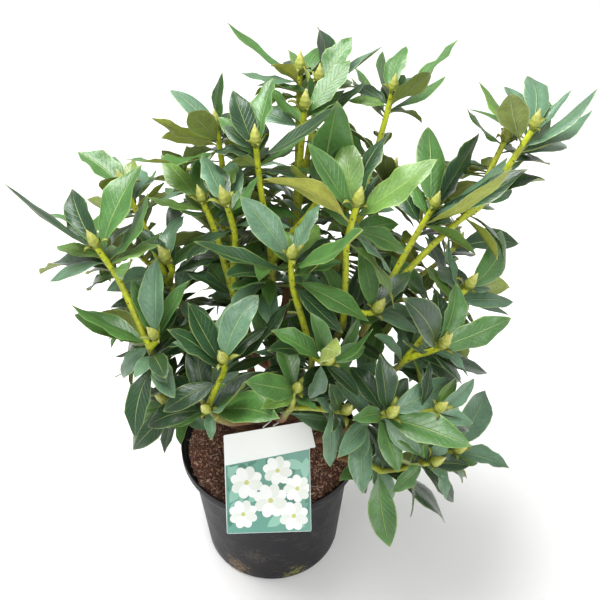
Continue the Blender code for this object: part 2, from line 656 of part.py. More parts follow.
def leaf_rings(leaf, first=0.0, swell=0.0):
    """Sections across a leaf: two edges and a keel, along a spine that bends down."""
    rings = []
    for share in (first, LEAF_NECK, LEAF_WIDEST):
        if share < first or len(rings) and share == first:
            continue
        point, along, face = leaf_spine(leaf, share)
        side = face.cross(along)
        fullness = max(0, share - LEAF_NECK) / (LEAF_WIDEST - LEAF_NECK)
        half = LEAF_ROOT + (leaf["width"] / 2 - LEAF_ROOT) * fullness + swell
        top = face * (LEAF_ROOT / 2 * (1 - fullness) + swell)
        keel = face * (LEAF_ROOT / 2 + (LEAF_KEEL - LEAF_ROOT / 2) * min(fullness * 2, 1) + swell)
        rings.append([point + side * half + top, point - side * half + top, point - keel])
    tip, along, face = leaf_spine(leaf, 1.0)
    return rings + [[tip + along * swell]]


def leaf_spine(leaf, share):
    """Point, direction and face of a leaf at a share of its length."""
    bend = leaf["bend"]
    turn = bend * share
    ahead = math.sin(turn) / bend * leaf["length"]
    down = (1 - math.cos(turn)) / bend * leaf["length"]
    point = leaf["root"] + leaf["way"] * ahead - leaf["face"] * down
    along = leaf["way"] * math.cos(turn) - leaf["face"] * math.sin(turn)
    face = leaf["face"] * math.cos(turn) + leaf["way"] * math.sin(turn)
    return point, along, face


def aimed_leaf(twig, rank, azimuth, length, chance, tilt=0):
    """A leaf of a whorl: the higher ones stand up, the lower ones lie flat or hang."""
    back = FIRST_LEAF_BACK + LEAF_SPACING * rank
    root, axis = point_on(twig["points"], max(1 - back / path_length(twig["points"]), 0.25))
    axis = (axis + twig["way"]).normalized()
    pitch = max(PITCH_TOP - PITCH_STEP * rank, PITCH_LOW) + math.radians(tilt + chance.uniform(-7, 7))
    side = axis.orthogonal().normalized()
    other = axis.cross(side)
    outward = side * math.cos(azimuth) + other * math.sin(azimuth)
    way = outward * math.cos(pitch) + axis * math.sin(pitch)
    if way.z < -0.45:
        way = (way + UP * 0.35).normalized()
    face = axis * math.cos(pitch) - outward * math.sin(pitch)
    face = face + UP * 0.35
    face = (face - way * face.dot(way)).normalized()
    roll = math.radians(chance.uniform(-24, 24))
    face = Matrix.Rotation(roll, 3, way) @ face
    return {
        "root": root, "way": way, "face": face, "length": length,
        "width": length * LEAF_WIDTH_SHARE * chance.uniform(0.86, 1.10),
        "bend": math.radians(chance.uniform(12, 52)), "rank": rank}


def as_seen(vector):
    """A point or direction flattened to what shows from the front."""
    return Vector((vector.dot(SEEN_RIGHT), vector.dot(SEEN_UP)))


def seen_at(point):
    """Where a point shows from the front, on a plane SEEN_FROM away."""
    away = point - EYE
    return as_seen(away) * (-SEEN_FROM / away.dot(TOWARDS_EYE))


def in_a_gap(leaf):
    """True if a leaf would show in one of the open gaps."""
    for share in (0.4, 0.6, 0.8, 1.0):
        shown = seen_at(leaf_spine(leaf, share)[0]) * 1000
        if any(math.hypot(shown.x - x, shown.y - y) < reach for x, y, reach in GAPS):
            return True
    return False


def show_face(leaf, show):
    """Roll a leaf about its own direction until the wanted share of its face shows."""
    _, along, face = leaf_spine(leaf, 0.5)
    eye = (EYE - leaf["root"]).normalized()
    flat = (eye - along * eye.dot(along)).normalized()
    now = math.atan2(along.dot(face.cross(flat)), face.dot(flat))
    wanted = math.acos(show)
    roll = min((now - wanted, now + wanted), key=lambda angle: abs(math.remainder(angle, math.tau)))
    roll = math.remainder(roll, math.tau)
    leaf["face"] = Matrix.Rotation(roll, 3, leaf["way"]) @ leaf["face"]
    return abs(math.degrees(roll))


def seen_leaves(twig, rank, place, turn, seed):
    """The leaves of a whorl's cone whose tips show nearest to the wanted place, best first."""
    offset = Matrix.Rotation(math.radians(turn), 2) @ Vector(place[:2]) * 0.001
    goal = seen_at(twig["points"][-1]) + offset
    shortest = min(SHORTEST_LEAF, offset.length * 1.6)
    scored = []
    for tilt in SEEN_TILTS:
        for step in range(SEEN_STEPS):
            azimuth = math.tau * step / SEEN_STEPS
            leaf = aimed_leaf(twig, rank, azimuth, 1.0, random.Random(seed), tilt)
            if abs(place[2]) < EDGE_ON:
                leaf["bend"] *= EDGE_ON_BEND
            roll = show_face(leaf, place[2])
            chord = leaf_spine(leaf, 1.0)[0] - leaf["root"]
            root = seen_at(leaf["root"])
            length = (SHORTEST_LEAF + LONGEST_LEAF) / 2
            for refinement in range(2):
                shown = seen_at(leaf["root"] + chord * length) - root
                length *= shown.dot(goal - root) / max(shown.length_squared, 0.0001)
                length = min(max(length, shortest), LONGEST_LEAF)
            miss = (seen_at(leaf["root"] + chord * length) - goal).length * 1000
            score = miss + ROLL_COST * roll + 2 * chord.dot(TOWARDS_EYE) + 0.06 * abs(tilt)
            leaf["width"] *= length
            leaf["length"] = length
            scored.append((score, leaf))
    scored.sort(key=lambda pair: pair[0])
    return [leaf for score, leaf in scored[:SEEN_CHOICES]]


def skin_tree(rings):
    """A search tree over a skin."""
    points, faces = loft(rings)
    return BVHTree.FromPolygons(points, faces), bounds_of(points)


def bounds_of(points):
    """Lowest and highest corner of some points."""
    low = [min(p[k] for p in points) for k in range(3)]
    high = [max(p[k] for p in points) for k in range(3)]
    return low, high


class Room:
    """What already stands in the crown, so that nothing grows through anything else."""

    def __init__(self):
        self.stood = []

    def add(self, rings, owner):
        tree, (low, high) = skin_tree(rings)
        self.stood.append((low, high, tree, owner))

    def meets(self, rings, owner, own):
        """True if the skin meets what stands there, either of its own mass or of others."""
        tree, (low, high) = skin_tree(rings)
        for other_low, other_high, other_tree, other_owner in self.stood:
            if (other_owner == owner) != own:
                continue
            if any(low[k] > other_high[k] or high[k] < other_low[k] for k in range(3)):
                continue
            if tree.overlap(other_tree):
                return True
        return False


def clear_of_pot(rings):
    """True if every point of a skin is above the floor and outside the pot and the card."""
    back_to_card = card_place().inverted()
    for ring in rings:
        for point in ring:
            if point.z < 0.004:
                return False
            if point.z < POT_HEIGHT + 0.004 and math.hypot(point.x, point.y) < RIM_RADIUS + 0.006:
                return False
            flat = back_to_card @ point
            beside = CARD_LEFT - 0.012 < flat.x < CARD_RIGHT + 0.012
            if beside and CARD_FOOT - 0.010 < flat.y < CARD_TOP_RIGHT + 0.014 and abs(flat.z) < 0.006:
                return False
    return True


def in_own_space(leaf, name, whorls):
    """A mass keeps to the space round its own whorls, give or take a little."""
    tip = leaf_spine(leaf, 1.0)[0]
    own = min((tip - place).length for place in whorls[name])
    others = min((tip - place).length for key, group in whorls.items() if key != name for place in group)
    return own - others < OVERREACH


def bud_rings(twig):
    """A pointed bud that stands on the end of its shoot."""
    foot = twig["points"][-1] - twig["way"] * 0.002
    stations = (0.0, 0.42)
    radii = (TWIG_TIP_RADIUS * 0.8, BUD_RADIUS)
    points = [foot + twig["way"] * BUD_LENGTH * share for share in stations]
    return tube_rings(points, radii, 4) + [[foot + twig["way"] * (BUD_LENGTH + 0.002)]]


def grow(plant):
    """Deal out the leaves: first those that shape the outline, then the rest of each whorl."""
    room = Room()
    for limb in plant.limbs.values():
        room.add(tube_rings(limb["points"], [r + CLEARANCE for r in limb["radii"]], 6), "limb")
    whorls = {name: [twig["points"][-1] for twig in twigs] for name, twigs in plant.masses.items()}
    for name, twigs in plant.masses.items():
        for twig in twigs:
            room.add(tube_rings(twig["points"], [r + CLEARANCE for r in twig["radii"]], 4), name)
            if twig["bud"]:
                room.add(bud_rings(twig), name)
    leaves = {name: [] for name in plant.masses}

    def try_leaf(name, leaf):
        outer = leaf_rings(leaf, LEAF_NECK, CLEARANCE)
        whole = leaf_rings(leaf, 0.08, CLEARANCE)
        if not clear_of_pot(whole) or not in_own_space(leaf, name, whorls):
            return False
        if room.meets(outer, name, True) or room.meets(whole, name, False):
            return False
        leaves[name].append(leaf)
        room.add(leaf_rings(leaf), name)
        return True

    seed = SEED
    for name, twigs in plant.masses.items():
        for twig in twigs:
            twig["dealt"] = 0
            for rank, place in enumerate(twig["seen"]):
                seed += 1
                for attempt, (turn, lower) in enumerate(NUDGES):
                    choices = seen_leaves(twig, max(rank + lower, 0), place, turn, seed * 10 + attempt)
                    if any(try_leaf(name, leaf) for leaf in choices):
                        twig["dealt"] += 1
                        break
    for name, twigs in plant.masses.items():
        for twig in twigs:
            seed += 1
            chance = random.Random(seed)
            turn = chance.uniform(0, math.tau)
            first = (0 if twig["bud"] else 1) + twig["dealt"] // 2
            for index in range(max(twig["fill"] - twig["dealt"], min(twig["fill"], 2))):
                rank = first + index
                length = (TOP_LEAF + LEAF_GROWTH * rank) * chance.uniform(0.92, 1.12)
                for attempt in range(10):
                    azimuth = turn + GOLDEN_ANGLE * index + attempt * 0.6
                    leaf = aimed_leaf(twig, rank, azimuth, length, chance)
                    if in_a_gap(leaf) or twig["seen"] and leaf["way"].dot(TOWARDS_EYE) > HIDDEN:
                        continue
                    if try_leaf(name, leaf):
                        break
    return leaves


# Masses of foliage

def mesh_from_rings(name, rings):
    """A mesh of a closed skin."""
    points, faces = loft(rings)
    mesh = bpy.data.meshes.new(name)
    mesh.from_pydata(points, [], faces)
    return mesh


def signed_volume(face):
    """The volume between a face and the origin."""
    corners = [vert.co for vert in face.verts]
    fan = zip(corners[1:], corners[2:])
    return sum(corners[0].dot(b.cross(c)) for b, c in fan) / 6


def largest_body(mesh):
    """Keep the one outer skin: a sealed hollow is filled and a loose scrap dropped."""
    work = bmesh.new()
    work.from_mesh(mesh)
    left = set(work.faces)
    bodies = []
    while left:
        group = [left.pop()]
        for face in group:
            for edge in face.edges:
                for neighbour in edge.link_faces:
                    if neighbour in left:
                        left.remove(neighbour)
                        group.append(neighbour)
        bodies.append((sum(signed_volume(face) for face in group), group))
    bodies.sort(key=lambda body: body[0], reverse=True)
    for volume, group in bodies[1:]:
        bmesh.ops.delete(work, geom=group, context="FACES")
    loose = [vert for vert in work.verts if not vert.link_faces]
    bmesh.ops.delete(work, geom=loose, context="VERTS")
    work.to_mesh(mesh)
    work.free()


def make_mass(name, twigs, leaves, group, finish):
    """Join a mass's stem, shoots, buds and leaves into one solid."""
    pieces = bpy.data.collections.new("pieces")
    for index, twig in enumerate(twigs[1:]):
        rings = tube_rings(twig["points"], twig["radii"], 3)
        add_mesh(f"twig_{index}", mesh_from_rings("twig", rings), pieces)
        add_mesh(f"bud_{index}", mesh_from_rings("bud", bud_rings(twig)), pieces)
    for index, leaf in enumerate(leaves):
        add_mesh(f"leaf_{index}", mesh_from_rings("leaf", leaf_rings(leaf)), pieces)
    stem_rings = tube_rings(twigs[0]["points"], twigs[0]["radii"], 3)
    mass = add_mesh("foliage_" + name, mesh_from_rings("foliage_" + name, stem_rings), group, finish)
    union = mass.modifiers.new("join", "BOOLEAN")
    union.operation = "UNION"
    union.operand_type = "COLLECTION"
    union.collection = pieces
    bpy.context.scene.collection.children.link(pieces)
    bpy.context.view_layer.update()
    joined = bpy.data.meshes.new_from_object(mass.evaluated_get(bpy.context.evaluated_depsgraph_get()))
    mass.modifiers.clear()
    largest_body(joined)
    mass.data = joined
    for piece in list(pieces.objects):
        bpy.data.objects.remove(piece, do_unlink=True)
    bpy.data.collections.remove(pieces)
    return mass


def make_limbs(plant, group, cutters, finish):
    """The stem and the boughs; a bough's foot is cut to its parent's round."""
    for name, limb in plant.limbs.items():
        thing = make_tube(name, limb["points"], limb["radii"], group, finish)
        if limb["parent"]:
            parent = plant.limbs[limb["parent"]]
            wider = [radius + GAP for radius in parent["radii"]]
            cutter = make_tube(name + "_cutter", parent["points"], wider, cutters, None)
            cut(thing, as_cutter(cutter))


def main():
    clear_scene()
    parts = new_collection("potted_rhododendron")
    cutters = new_collection("cutters")
    plastic = material("pot_plastic", (0.045, 0.043, 0.047), 0.45)
    soil = material("compost", (0.055, 0.026, 0.018), 0.95)
    card = material("label_print", (0.80, 0.83, 0.80), 0.35)
    strap = material("label_strap", (0.85, 0.85, 0.83), 0.40)
    bark = material("old_bark", (0.115, 0.045, 0.028), 0.75)
    leaf = material("foliage", (0.060, 0.150, 0.060), 0.35)

    plant = describe_plant()
    make_pot(parts, cutters, plastic)
    make_compost(parts, soil)
    make_card(parts, card)
    make_limbs(plant, parts, cutters, bark)
    make_strap(parts, strap, plant.limbs["bough_front"])
    leaves = grow(plant)
    for name, twigs in plant.masses.items():
        make_mass(name, twigs, leaves[name], parts, leaf)
    print("leaves", sum(len(group) for group in leaves.values()))


main()
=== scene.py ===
# %% [markdown]
# # A young rhododendron in its nursery pot
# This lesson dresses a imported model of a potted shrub: a round pot of thin black plastic, moist
# compost, a short woody stem that parts into boughs, and at the end of each bough a mass of
# young shoots, each with a whorl of leathery leaves and a fat bud. The model's solids give the
# place and the reach of everything. Here each of them is carried finer, in the same place.

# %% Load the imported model
import math
import random

import bmesh
import bpy
from mathutils import Matrix, Vector, noise
from mathutils.bvhtree import BVHTree


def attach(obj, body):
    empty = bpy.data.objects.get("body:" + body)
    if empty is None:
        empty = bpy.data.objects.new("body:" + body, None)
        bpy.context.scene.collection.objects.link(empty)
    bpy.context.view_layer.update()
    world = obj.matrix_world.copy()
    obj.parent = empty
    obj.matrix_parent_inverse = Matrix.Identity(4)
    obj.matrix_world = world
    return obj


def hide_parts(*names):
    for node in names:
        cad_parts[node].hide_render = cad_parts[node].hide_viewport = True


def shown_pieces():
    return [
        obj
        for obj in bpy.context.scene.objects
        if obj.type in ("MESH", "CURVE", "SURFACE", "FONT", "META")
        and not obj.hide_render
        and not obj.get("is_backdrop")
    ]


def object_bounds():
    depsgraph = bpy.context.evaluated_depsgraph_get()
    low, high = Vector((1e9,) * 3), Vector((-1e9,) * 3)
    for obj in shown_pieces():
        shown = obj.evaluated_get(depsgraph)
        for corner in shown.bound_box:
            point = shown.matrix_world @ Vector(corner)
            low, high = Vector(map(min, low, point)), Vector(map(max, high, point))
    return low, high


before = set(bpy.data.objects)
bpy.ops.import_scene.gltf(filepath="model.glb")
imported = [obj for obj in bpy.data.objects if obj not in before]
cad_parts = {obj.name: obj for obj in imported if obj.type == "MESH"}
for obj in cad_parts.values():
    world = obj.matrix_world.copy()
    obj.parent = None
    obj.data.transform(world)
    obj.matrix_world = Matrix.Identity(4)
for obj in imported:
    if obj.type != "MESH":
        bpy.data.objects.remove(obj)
cad_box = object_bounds()

# %% [markdown]
# ## View and light
# The plant was looked at from in front and well above, so the camera stands high and looks down
# at about 41 degrees through a slightly long lens. The ground is a wide pale sheet. A white sky
# gives the soft light of a photographer's tent, and one large lamp above and to the left makes
# the upper sides of the leaves brighter than their undersides.

# %% Camera
LOOK_DOWN = math.radians(41.4)
CAMERA_PLACE = (0.0372, -0.737, 1.067)
SENSOR_MM = 36
LENS_MM = 54
camera_data = bpy.data.cameras.new("camera")
camera_data.sensor_width = SENSOR_MM
camera_data.lens = LENS_MM
camera = bpy.data.objects.new("camera", camera_data)
camera.location = CAMERA_PLACE
camera.rotation_euler = (math.pi / 2 - LOOK_DOWN, 0, 0)
bpy.context.scene.collection.objects.link(camera)
bpy.context.scene.camera = camera
print("lens", LENS_MM, "mm")

# %% Lamps and sky
SKY_STRENGTH = 0.50
CROWN_MIDDLE = (0, 0, 0.3)
# each lamp: its place, its size and its watts
LAMPS = (("key", (-0.6, 0.4, 2.3), 1.6, 84), ("fill", (0.7, -1.9, 1.7), 1.3, 30))


def area_lamp(name, place, target, size, watts):
    """A square lamp that faces a point."""
    data = bpy.data.lights.new(name, "AREA")
    data.size = size
    data.energy = watts
    lamp = bpy.data.objects.new(name, data)
    lamp.location = place
    aim = Vector(target) - Vector(place)
    lamp.rotation_euler = aim.to_track_quat("-Z", "Y").to_euler()
    bpy.context.scene.collection.objects.link(lamp)


sky = bpy.data.worlds.new("sky")
bpy.context.scene.world = sky
sky.use_nodes = True
backdrop = sky.node_tree.nodes["Background"]
backdrop.inputs["Color"].default_value = (1.0, 1.0, 1.0, 1.0)
backdrop.inputs["Strength"].default_value = SKY_STRENGTH
for name, place, size, watts in LAMPS:
    area_lamp(name, place, CROWN_MIDDLE, size, watts)
bpy.context.scene.view_settings.view_transform = "Standard"
print("sky", SKY_STRENGTH)

# %% [markdown]
# ## Small helpers
# Every material and every Geometry Nodes tree below is a graph of nodes. One helper puts a node
# down and feeds its sockets, either with a value or with another node's output, so that a graph
# reads from top to bottom in the order in which it works. A few more cover what recurs: sums, a
# range turned into another, cloudy noise, a blend of two colours, and a mesh from its points.

# %% Helpers for nodes and meshes
def put(tree, kind, feeds=None, **settings):
    """Place a node, set its options and feed its inputs with values or with other outputs."""
    node = tree.nodes.new(kind)
    for key, value in settings.items():
        setattr(node, key, value)
    for socket, feed in (feeds or {}).items():
        if isinstance(feed, bpy.types.NodeSocket):
            tree.links.new(feed, node.inputs[socket])
        else:
            node.inputs[socket].default_value = feed
    return node


def calc(tree, operation, first, second=0.0):
    """One sum, in a shader graph or in a Geometry Nodes graph."""
    feeds = {0: first, 1: second}
    return put(tree, "ShaderNodeMath", feeds, operation=operation).outputs[0]


def plus(tree, first, second):
    """Add two values."""
    return calc(tree, "ADD", first, second)


def minus(tree, first, second):
    """Take the second value from the first."""
    return calc(tree, "SUBTRACT", first, second)


def times(tree, first, second):
    """Multiply two values."""
    return calc(tree, "MULTIPLY", first, second)


def scaled(tree, vector, amount):
    """A direction made longer or shorter."""
    feeds = {0: vector, "Scale": amount}
    return put(tree, "ShaderNodeVectorMath", feeds, operation="SCALE").outputs[0]


def shape_of(tree, thing):
    """The shape of an object that a tree was given."""
    return put(tree, "GeometryNodeObjectInfo", {"Object": thing}).outputs["Geometry"]


def ranged(tree, value, low, high, first, last):
    """Turn the range from low to high into the one from first to last, and stay inside it."""
    feeds = {0: value, 1: low, 2: high, 3: first, 4: last}
    return put(tree, "ShaderNodeMapRange", feeds, clamp=True).outputs[0]


def clouds(tree, place, scale, detail=2.0, roughness=0.5):
    """Cloudy noise from 0 to 1."""
    feeds = {"Vector": place, "Scale": scale, "Detail": detail, "Roughness": roughness}
    return put(tree, "ShaderNodeTexNoise", feeds).outputs["Fac"]


def blend(tree, mask, first, last):
    """The first colour where a mask is 0, the last where it is 1."""
    return put(tree, "ShaderNodeMix", {0: mask, 6: first, 7: last}, data_type="RGBA").outputs[2]


def new_tree(name, kind, inputs, outputs):
    """An empty node group with named sockets: the tree, what it is given and what it puts out."""
    tree = bpy.data.node_groups.new(name, kind)
    for way, sockets in (("INPUT", inputs), ("OUTPUT", outputs)):
        for label, socket_kind, value in sockets:
            socket = tree.interface.new_socket(
                label, in_out=way, socket_type="NodeSocket" + socket_kind)
            if value is not None:
                socket.default_value = value
    given, out = tree.nodes.new("NodeGroupInput"), tree.nodes.new("NodeGroupOutput")
    return tree, given.outputs, out.inputs


def finish_tree(tree, given, out, geometry):
    """End a Geometry Nodes tree: real faces with the finish that it was given."""
    real = put(tree, "GeometryNodeRealizeInstances", {"Geometry": geometry}).outputs[0]
    feeds = {"Geometry": real, "Material": given["Finish"]}
    last = put(tree, "GeometryNodeSetMaterial", feeds)
    tree.links.new(last.outputs[0], out[0])


def new_mesh(name, points, faces, smooth=False):
    """A mesh from its points and faces."""
    mesh = bpy.data.meshes.new(name)
    mesh.from_pydata(points, [], faces)
    if smooth:
        mesh.polygons.foreach_set("use_smooth", [True] * len(faces))
    return mesh


def face_outwards(mesh):
    """Turn every face of a closed skin outwards."""
    work = bmesh.new()
    work.from_mesh(mesh)
    bmesh.ops.recalc_face_normals(work, faces=work.faces)
    work.to_mesh(mesh)
    work.free()


def object_from(work, name):
    """Put a worked-on mesh in the scene and let the work go."""
    mesh = bpy.data.meshes.new(name)
    work.to_mesh(mesh)
    work.free()
    return add_object(name, mesh)


def add_object(name, mesh):
    """Put a mesh in the scene."""
    thing = bpy.data.objects.new(name, mesh)
    bpy.context.scene.collection.objects.link(thing)
    return thing


def run_nodes(name, source, tree, values):
    """Give an object a Geometry Nodes tree, keep what it makes as a plain mesh, drop the source."""
    step = source.modifiers.new("nodes", "NODES")
    step.node_group = tree
    for item in tree.interface.items_tree:
        if item.item_type == "SOCKET" and item.in_out == "INPUT" and item.name in values:
            step[item.identifier] = values[item.name]
    ready = source.evaluated_get(bpy.context.evaluated_depsgraph_get())
    mesh = bpy.data.meshes.new_from_object(ready)
    mesh.name = name
    bpy.data.objects.remove(source, do_unlink=True)
    made = add_object(name, mesh)
    print(name, len(mesh.polygons), "faces")
    return made


def ride(piece, slot, *nodes):
    """Every piece rides on the one body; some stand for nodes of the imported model."""
    if nodes:
        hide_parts(*nodes)
    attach(piece, "root")


# %% [markdown]
# ## The sizes of the real thing
# A five litre pot is 225 mm wide at the rim and 185 mm tall. These are the same named sizes that
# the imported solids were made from, so every finer piece lands where its solid stands.

# %% Sizes of pot, label and limbs
POT_HEIGHT = 0.185
RIM_RADIUS = 0.1125
LIP_DEPTH = 0.012
LIP_STEP = 0.0026
BASE_RADIUS = 0.0882
SHOULDER_HEIGHT = 0.152
SHOULDER_RADIUS = 0.1002
WALL = 0.0018
BASE_CORNER = 0.005
DRAIN_COUNT = 8
DRAIN_WIDTH = 0.014
DRAIN_HEIGHT = 0.005
DRAIN_LENGTH = 0.030
DRAIN_RING = 0.0745
DRAIN_LIFT = 0.0015
SOIL_LEVEL = 0.176
SOIL_SAG = 0.0020
CARD_THICKNESS = 0.0008
CARD_LEAN = math.radians(41.0)
CARD_FOOT = -0.023
CARD_LEFT = -0.048
CARD_RIGHT = 0.0505
CARD_BAND_FOOT = 0.077
CARD_TOP_LEFT = 0.091
CARD_TOP_RIGHT = 0.108
CARD_JUT = 0.005
STRAP_RADIUS = 0.0008
STRAP_SLACK = 0.0019
STEM_TOP = 0.246
STEM_FOOT_RADIUS = 0.0110
STEM_TOP_RADIUS = 0.0085
FLARE_RADIUS = 0.0155
FLARE_HEIGHT = 0.014
BOUGH_RISE = 0.55
STRAIGHT_END = 0.005
GAP = 0.0003
print("pot", POT_HEIGHT, "m tall,", 2 * RIM_RADIUS, "m wide")

# %% Sizes of shoots, leaves and buds
TWIG_FOOT_RADIUS = 0.0034
TWIG_TIP_RADIUS = 0.0027
LONGEST_LEAF = 0.125
SHORTEST_LEAF = 0.062
SEEN_TILTS = (0, 15, -15, 30, -30, 45, -45)
SEEN_STEPS = 60
SEEN_CHOICES = 14
ROLL_COST = 0.05
EDGE_ON = 0.55
EDGE_ON_BEND = -0.8
NUDGES = ((0, 0), (0, 1), (0, -1), (4, 2), (-4, 0), (8, 0), (-8, 1))
HIDDEN = -0.2
LEAF_WIDTH_SHARE = 0.38
LEAF_KEEL = 0.0017
LEAF_ROOT = 0.0009
LEAF_NECK = 0.14
LEAF_WIDEST = 0.56
LEAVES_PER_SHOOT = 7
TOP_LEAF = 0.062
LEAF_GROWTH = 0.0042
FIRST_LEAF_BACK = 0.005
LEAF_SPACING = 0.0038
GOLDEN_ANGLE = math.radians(137.5)
PITCH_TOP = math.radians(52)
PITCH_STEP = math.radians(8.5)
PITCH_LOW = math.radians(-12)
BUD_LENGTH = 0.025
BUD_RADIUS = 0.0060
CLEARANCE = 0.0006
OVERREACH = 0.035
SEED = 7
FRONT_PITCH = math.radians(41.4)
SEEN_RIGHT = Vector((1, 0, 0))
SEEN_UP = Vector((0, math.sin(FRONT_PITCH), math.cos(FRONT_PITCH)))
TOWARDS_EYE = Vector((0, -math.cos(FRONT_PITCH), math.sin(FRONT_PITCH)))
EYE = Vector((0.037, -0.737, 1.067))
SEEN_FROM = 0.9
GAPS = (
    (-270, 190, 75), (-188, 195, 38), (-150, 230, 26), (-110, 238, 26), (-85, 255, 17), (-15, 267, 16),
    (62, 274, 12), (127, 252, 9), (65, 182, 16), (102, 170, 16), (140, 195, 22), (152, 150, 10),
    (187, 160, 12), (190, 250, 30), (255, 238, 20), (280, 145, 20), (260, 80, 50), (207, 83, 10),
    (240, 35, 32), (245, -30, 33), (260, -100, 60), (166, 38, 8), (125, 38, 9), (117, 23, 7),
    (180, -13, 7), (85, -53, 11), (110, -52, 8), (200, -65, 22), (212, -112, 24), (105, -148, 8),
    (187, -202, 28), (140, -245, 24), (62, -212, 17), (45, -190, 10), (-255, -20, 34), (-270, 48, 12),
    (-226, 12, 12), (-167, 32, 12), (-172, 74, 9), (-135, 80, 9), (-107, 76, 8), (-124, 23, 9),
    (-147, 130, 8), (-105, 128, 6), (-15, 172, 8), (-17, 150, 8), (-16, 87, 7), (-120, -58, 8),
    (-107, -80, 7), (-202, -62, 14), (-205, -110, 34), (-150, -77, 11), (-150, -165, 21),
    (-124, -157, 7), (-52, -140, 26), (-8, -134, 28), (-30, -180, 46), (-94, -158, 24), (34, -176, 14))
UP = Vector((0, 0, 1))
print("leaves up to", LONGEST_LEAF, "m")

# %% [markdown]
# ## The limbs
# A shrub like this is one short stem that forks again and again. It could be modelled by hand,
# limb by limb, but a rule is quicker and stays editable: each bough starts at a share of its
# parent's length, leaves it sideways, bends upwards and ends at a stated tip. At the tip a mass
# of young growth begins, with a few shoots that part at its fork. The rule is the one that the
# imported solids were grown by, so it is written out again here in full.

# %% Paths
def smooth_route(knots, between):
    """Points on a Catmull-Rom curve through the knots."""
    padded = [knots[0]] + list(knots) + [knots[-1]]
    route = []
    for i in range(1, len(padded) - 2):
        a, b, c, d = padded[i - 1:i + 3]
        for j in range(between):
            t = j / between
            route.append(0.5 * (2 * b + (c - a) * t + (2 * a - 5 * b + 4 * c - d) * t ** 2
                                + (3 * b - a - 3 * c + d) * t ** 3))
    return route + [knots[-1]]


def bent_path(start, start_way, end, end_way, steps):
    """Points on a smooth bend that leaves and arrives in the given directions."""
    pull = (end - start).length * 0.36
    a, b, c, d = start, start + start_way * pull, end - end_way * pull, end
    path = []
    for i in range(steps + 1):
        t = i / steps
        s = 1 - t
        path.append(a * s ** 3 + b * (3 * s * s * t) + c * (3 * s * t * t) + d * t ** 3)
    return path


def path_length(path):
    """The length of a path."""
    return sum((b - a).length for a, b in zip(path, path[1:]))


def point_on(path, share):
    """The point and direction at a share of a path's length."""
    left = share * path_length(path)
    for start, end in zip(path, path[1:]):
        step = end - start
        if left <= step.length or end is path[-1]:
            return start + step.normalized() * left, step.normalized()
        left -= step.length


def taper(first, last, count):
    """Radii that shrink evenly."""
    return [first + (last - first) * i / (count - 1) for i in range(count)]


def card_place():
    """From the card's own plane to the pot: it lies on the front of the rim."""
    touch = Vector((0, -RIM_RADIUS - GAP, POT_HEIGHT))
    off_rim = Vector((0, -math.cos(CARD_LEAN), math.sin(CARD_LEAN))) * (CARD_THICKNESS / 2 + 0.0008)
    turn = Matrix.Rotation(math.pi / 2 - CARD_LEAN, 4, "X")
    return Matrix.Translation(touch + off_rim) @ turn


print("path helpers ready")

# %% Plant
class Plant:
    """The limbs and masses, in the order in which they grow."""

    def __init__(self):
        self.limbs = {}
        self.masses = {}

    def main_stem(self):
        """One short stem with a root flare, cut flat at the soil."""
        foot = SOIL_LEVEL + GAP
        heights = [foot, foot + FLARE_HEIGHT * 0.35, foot + FLARE_HEIGHT, 0.212, STEM_TOP]
        leans = [0.0, 0.0, 0.0002, 0.0012, 0.0026]
        radii = [FLARE_RADIUS, STEM_FOOT_RADIUS + 0.0016, STEM_FOOT_RADIUS, 0.0097, STEM_TOP_RADIUS]
        points = [Vector((x, 0, z)) for x, z in zip(leans, heights)]
        self.limbs["main_stem"] = {"points": points, "radii": radii, "way": UP}

    def bough(self, name, parent, share, tip, foot_radius, tip_radius=0.0038, rise=BOUGH_RISE):
        """One tapering limb that leaves its parent and bends upwards."""
        start, along = point_on(self.limbs[parent]["points"], share)
        tip = Vector(tip)
        way = (tip - start).normalized()
        foot = []
        if share >= 1:
            foot = [start + along * GAP]
            start = start + along * STRAIGHT_END
            leave = along
        else:
            outward = (way - along * way.dot(along)).normalized()
            leave = (outward + along * rise).normalized()
        arrive = (way + UP * 0.45).normalized()
        points = foot + bent_path(start, leave, tip - arrive * STRAIGHT_END, arrive, 4) + [tip]
        radii = taper(foot_radius, tip_radius, len(points))
        self.limbs[name] = {"points": points, "radii": radii, "way": arrive}

    def mass(self, name, fork, seen=(), fill=3):
        """Start a mass of foliage at its bough's tip; its shoots part at the fork."""
        bough = self.limbs["bough_" + name]
        start = bough["points"][-1] + bough["way"] * GAP
        fork = Vector(fork)
        arrive = ((fork - start).normalized() + UP * 0.5).normalized()
        stem = [start] + bent_path(start + bough["way"] * STRAIGHT_END, bough["way"], fork, arrive, 2)
        twigs = [{
            "points": stem,
            "radii": taper(bough["radii"][-1] * 0.95, TWIG_FOOT_RADIUS, len(stem)),
            "way": arrive, "seen": seen, "fill": fill, "bud": False}]
        self.masses[name] = twigs

    def shoot(self, name, tip, seen=(), fill=LEAVES_PER_SHOOT, off=0, share=1.0):
        """A young shoot from the fork, or from the side of an earlier shoot, to its bud."""
        twigs = self.masses[name]
        start, along = point_on(twigs[off]["points"], share)
        start = start - along * 0.0015
        tip = Vector(tip)
        way = (tip - start).normalized()
        leave = (way + along * 0.4).normalized()
        arrive = shoot_axis(tip)
        points = bent_path(start, leave, tip, arrive, 3)
        radii = taper(TWIG_FOOT_RADIUS * 0.9, TWIG_TIP_RADIUS, len(points))
        twigs.append({
            "points": points, "radii": radii, "way": arrive, "seen": seen, "fill": fill, "bud": True})


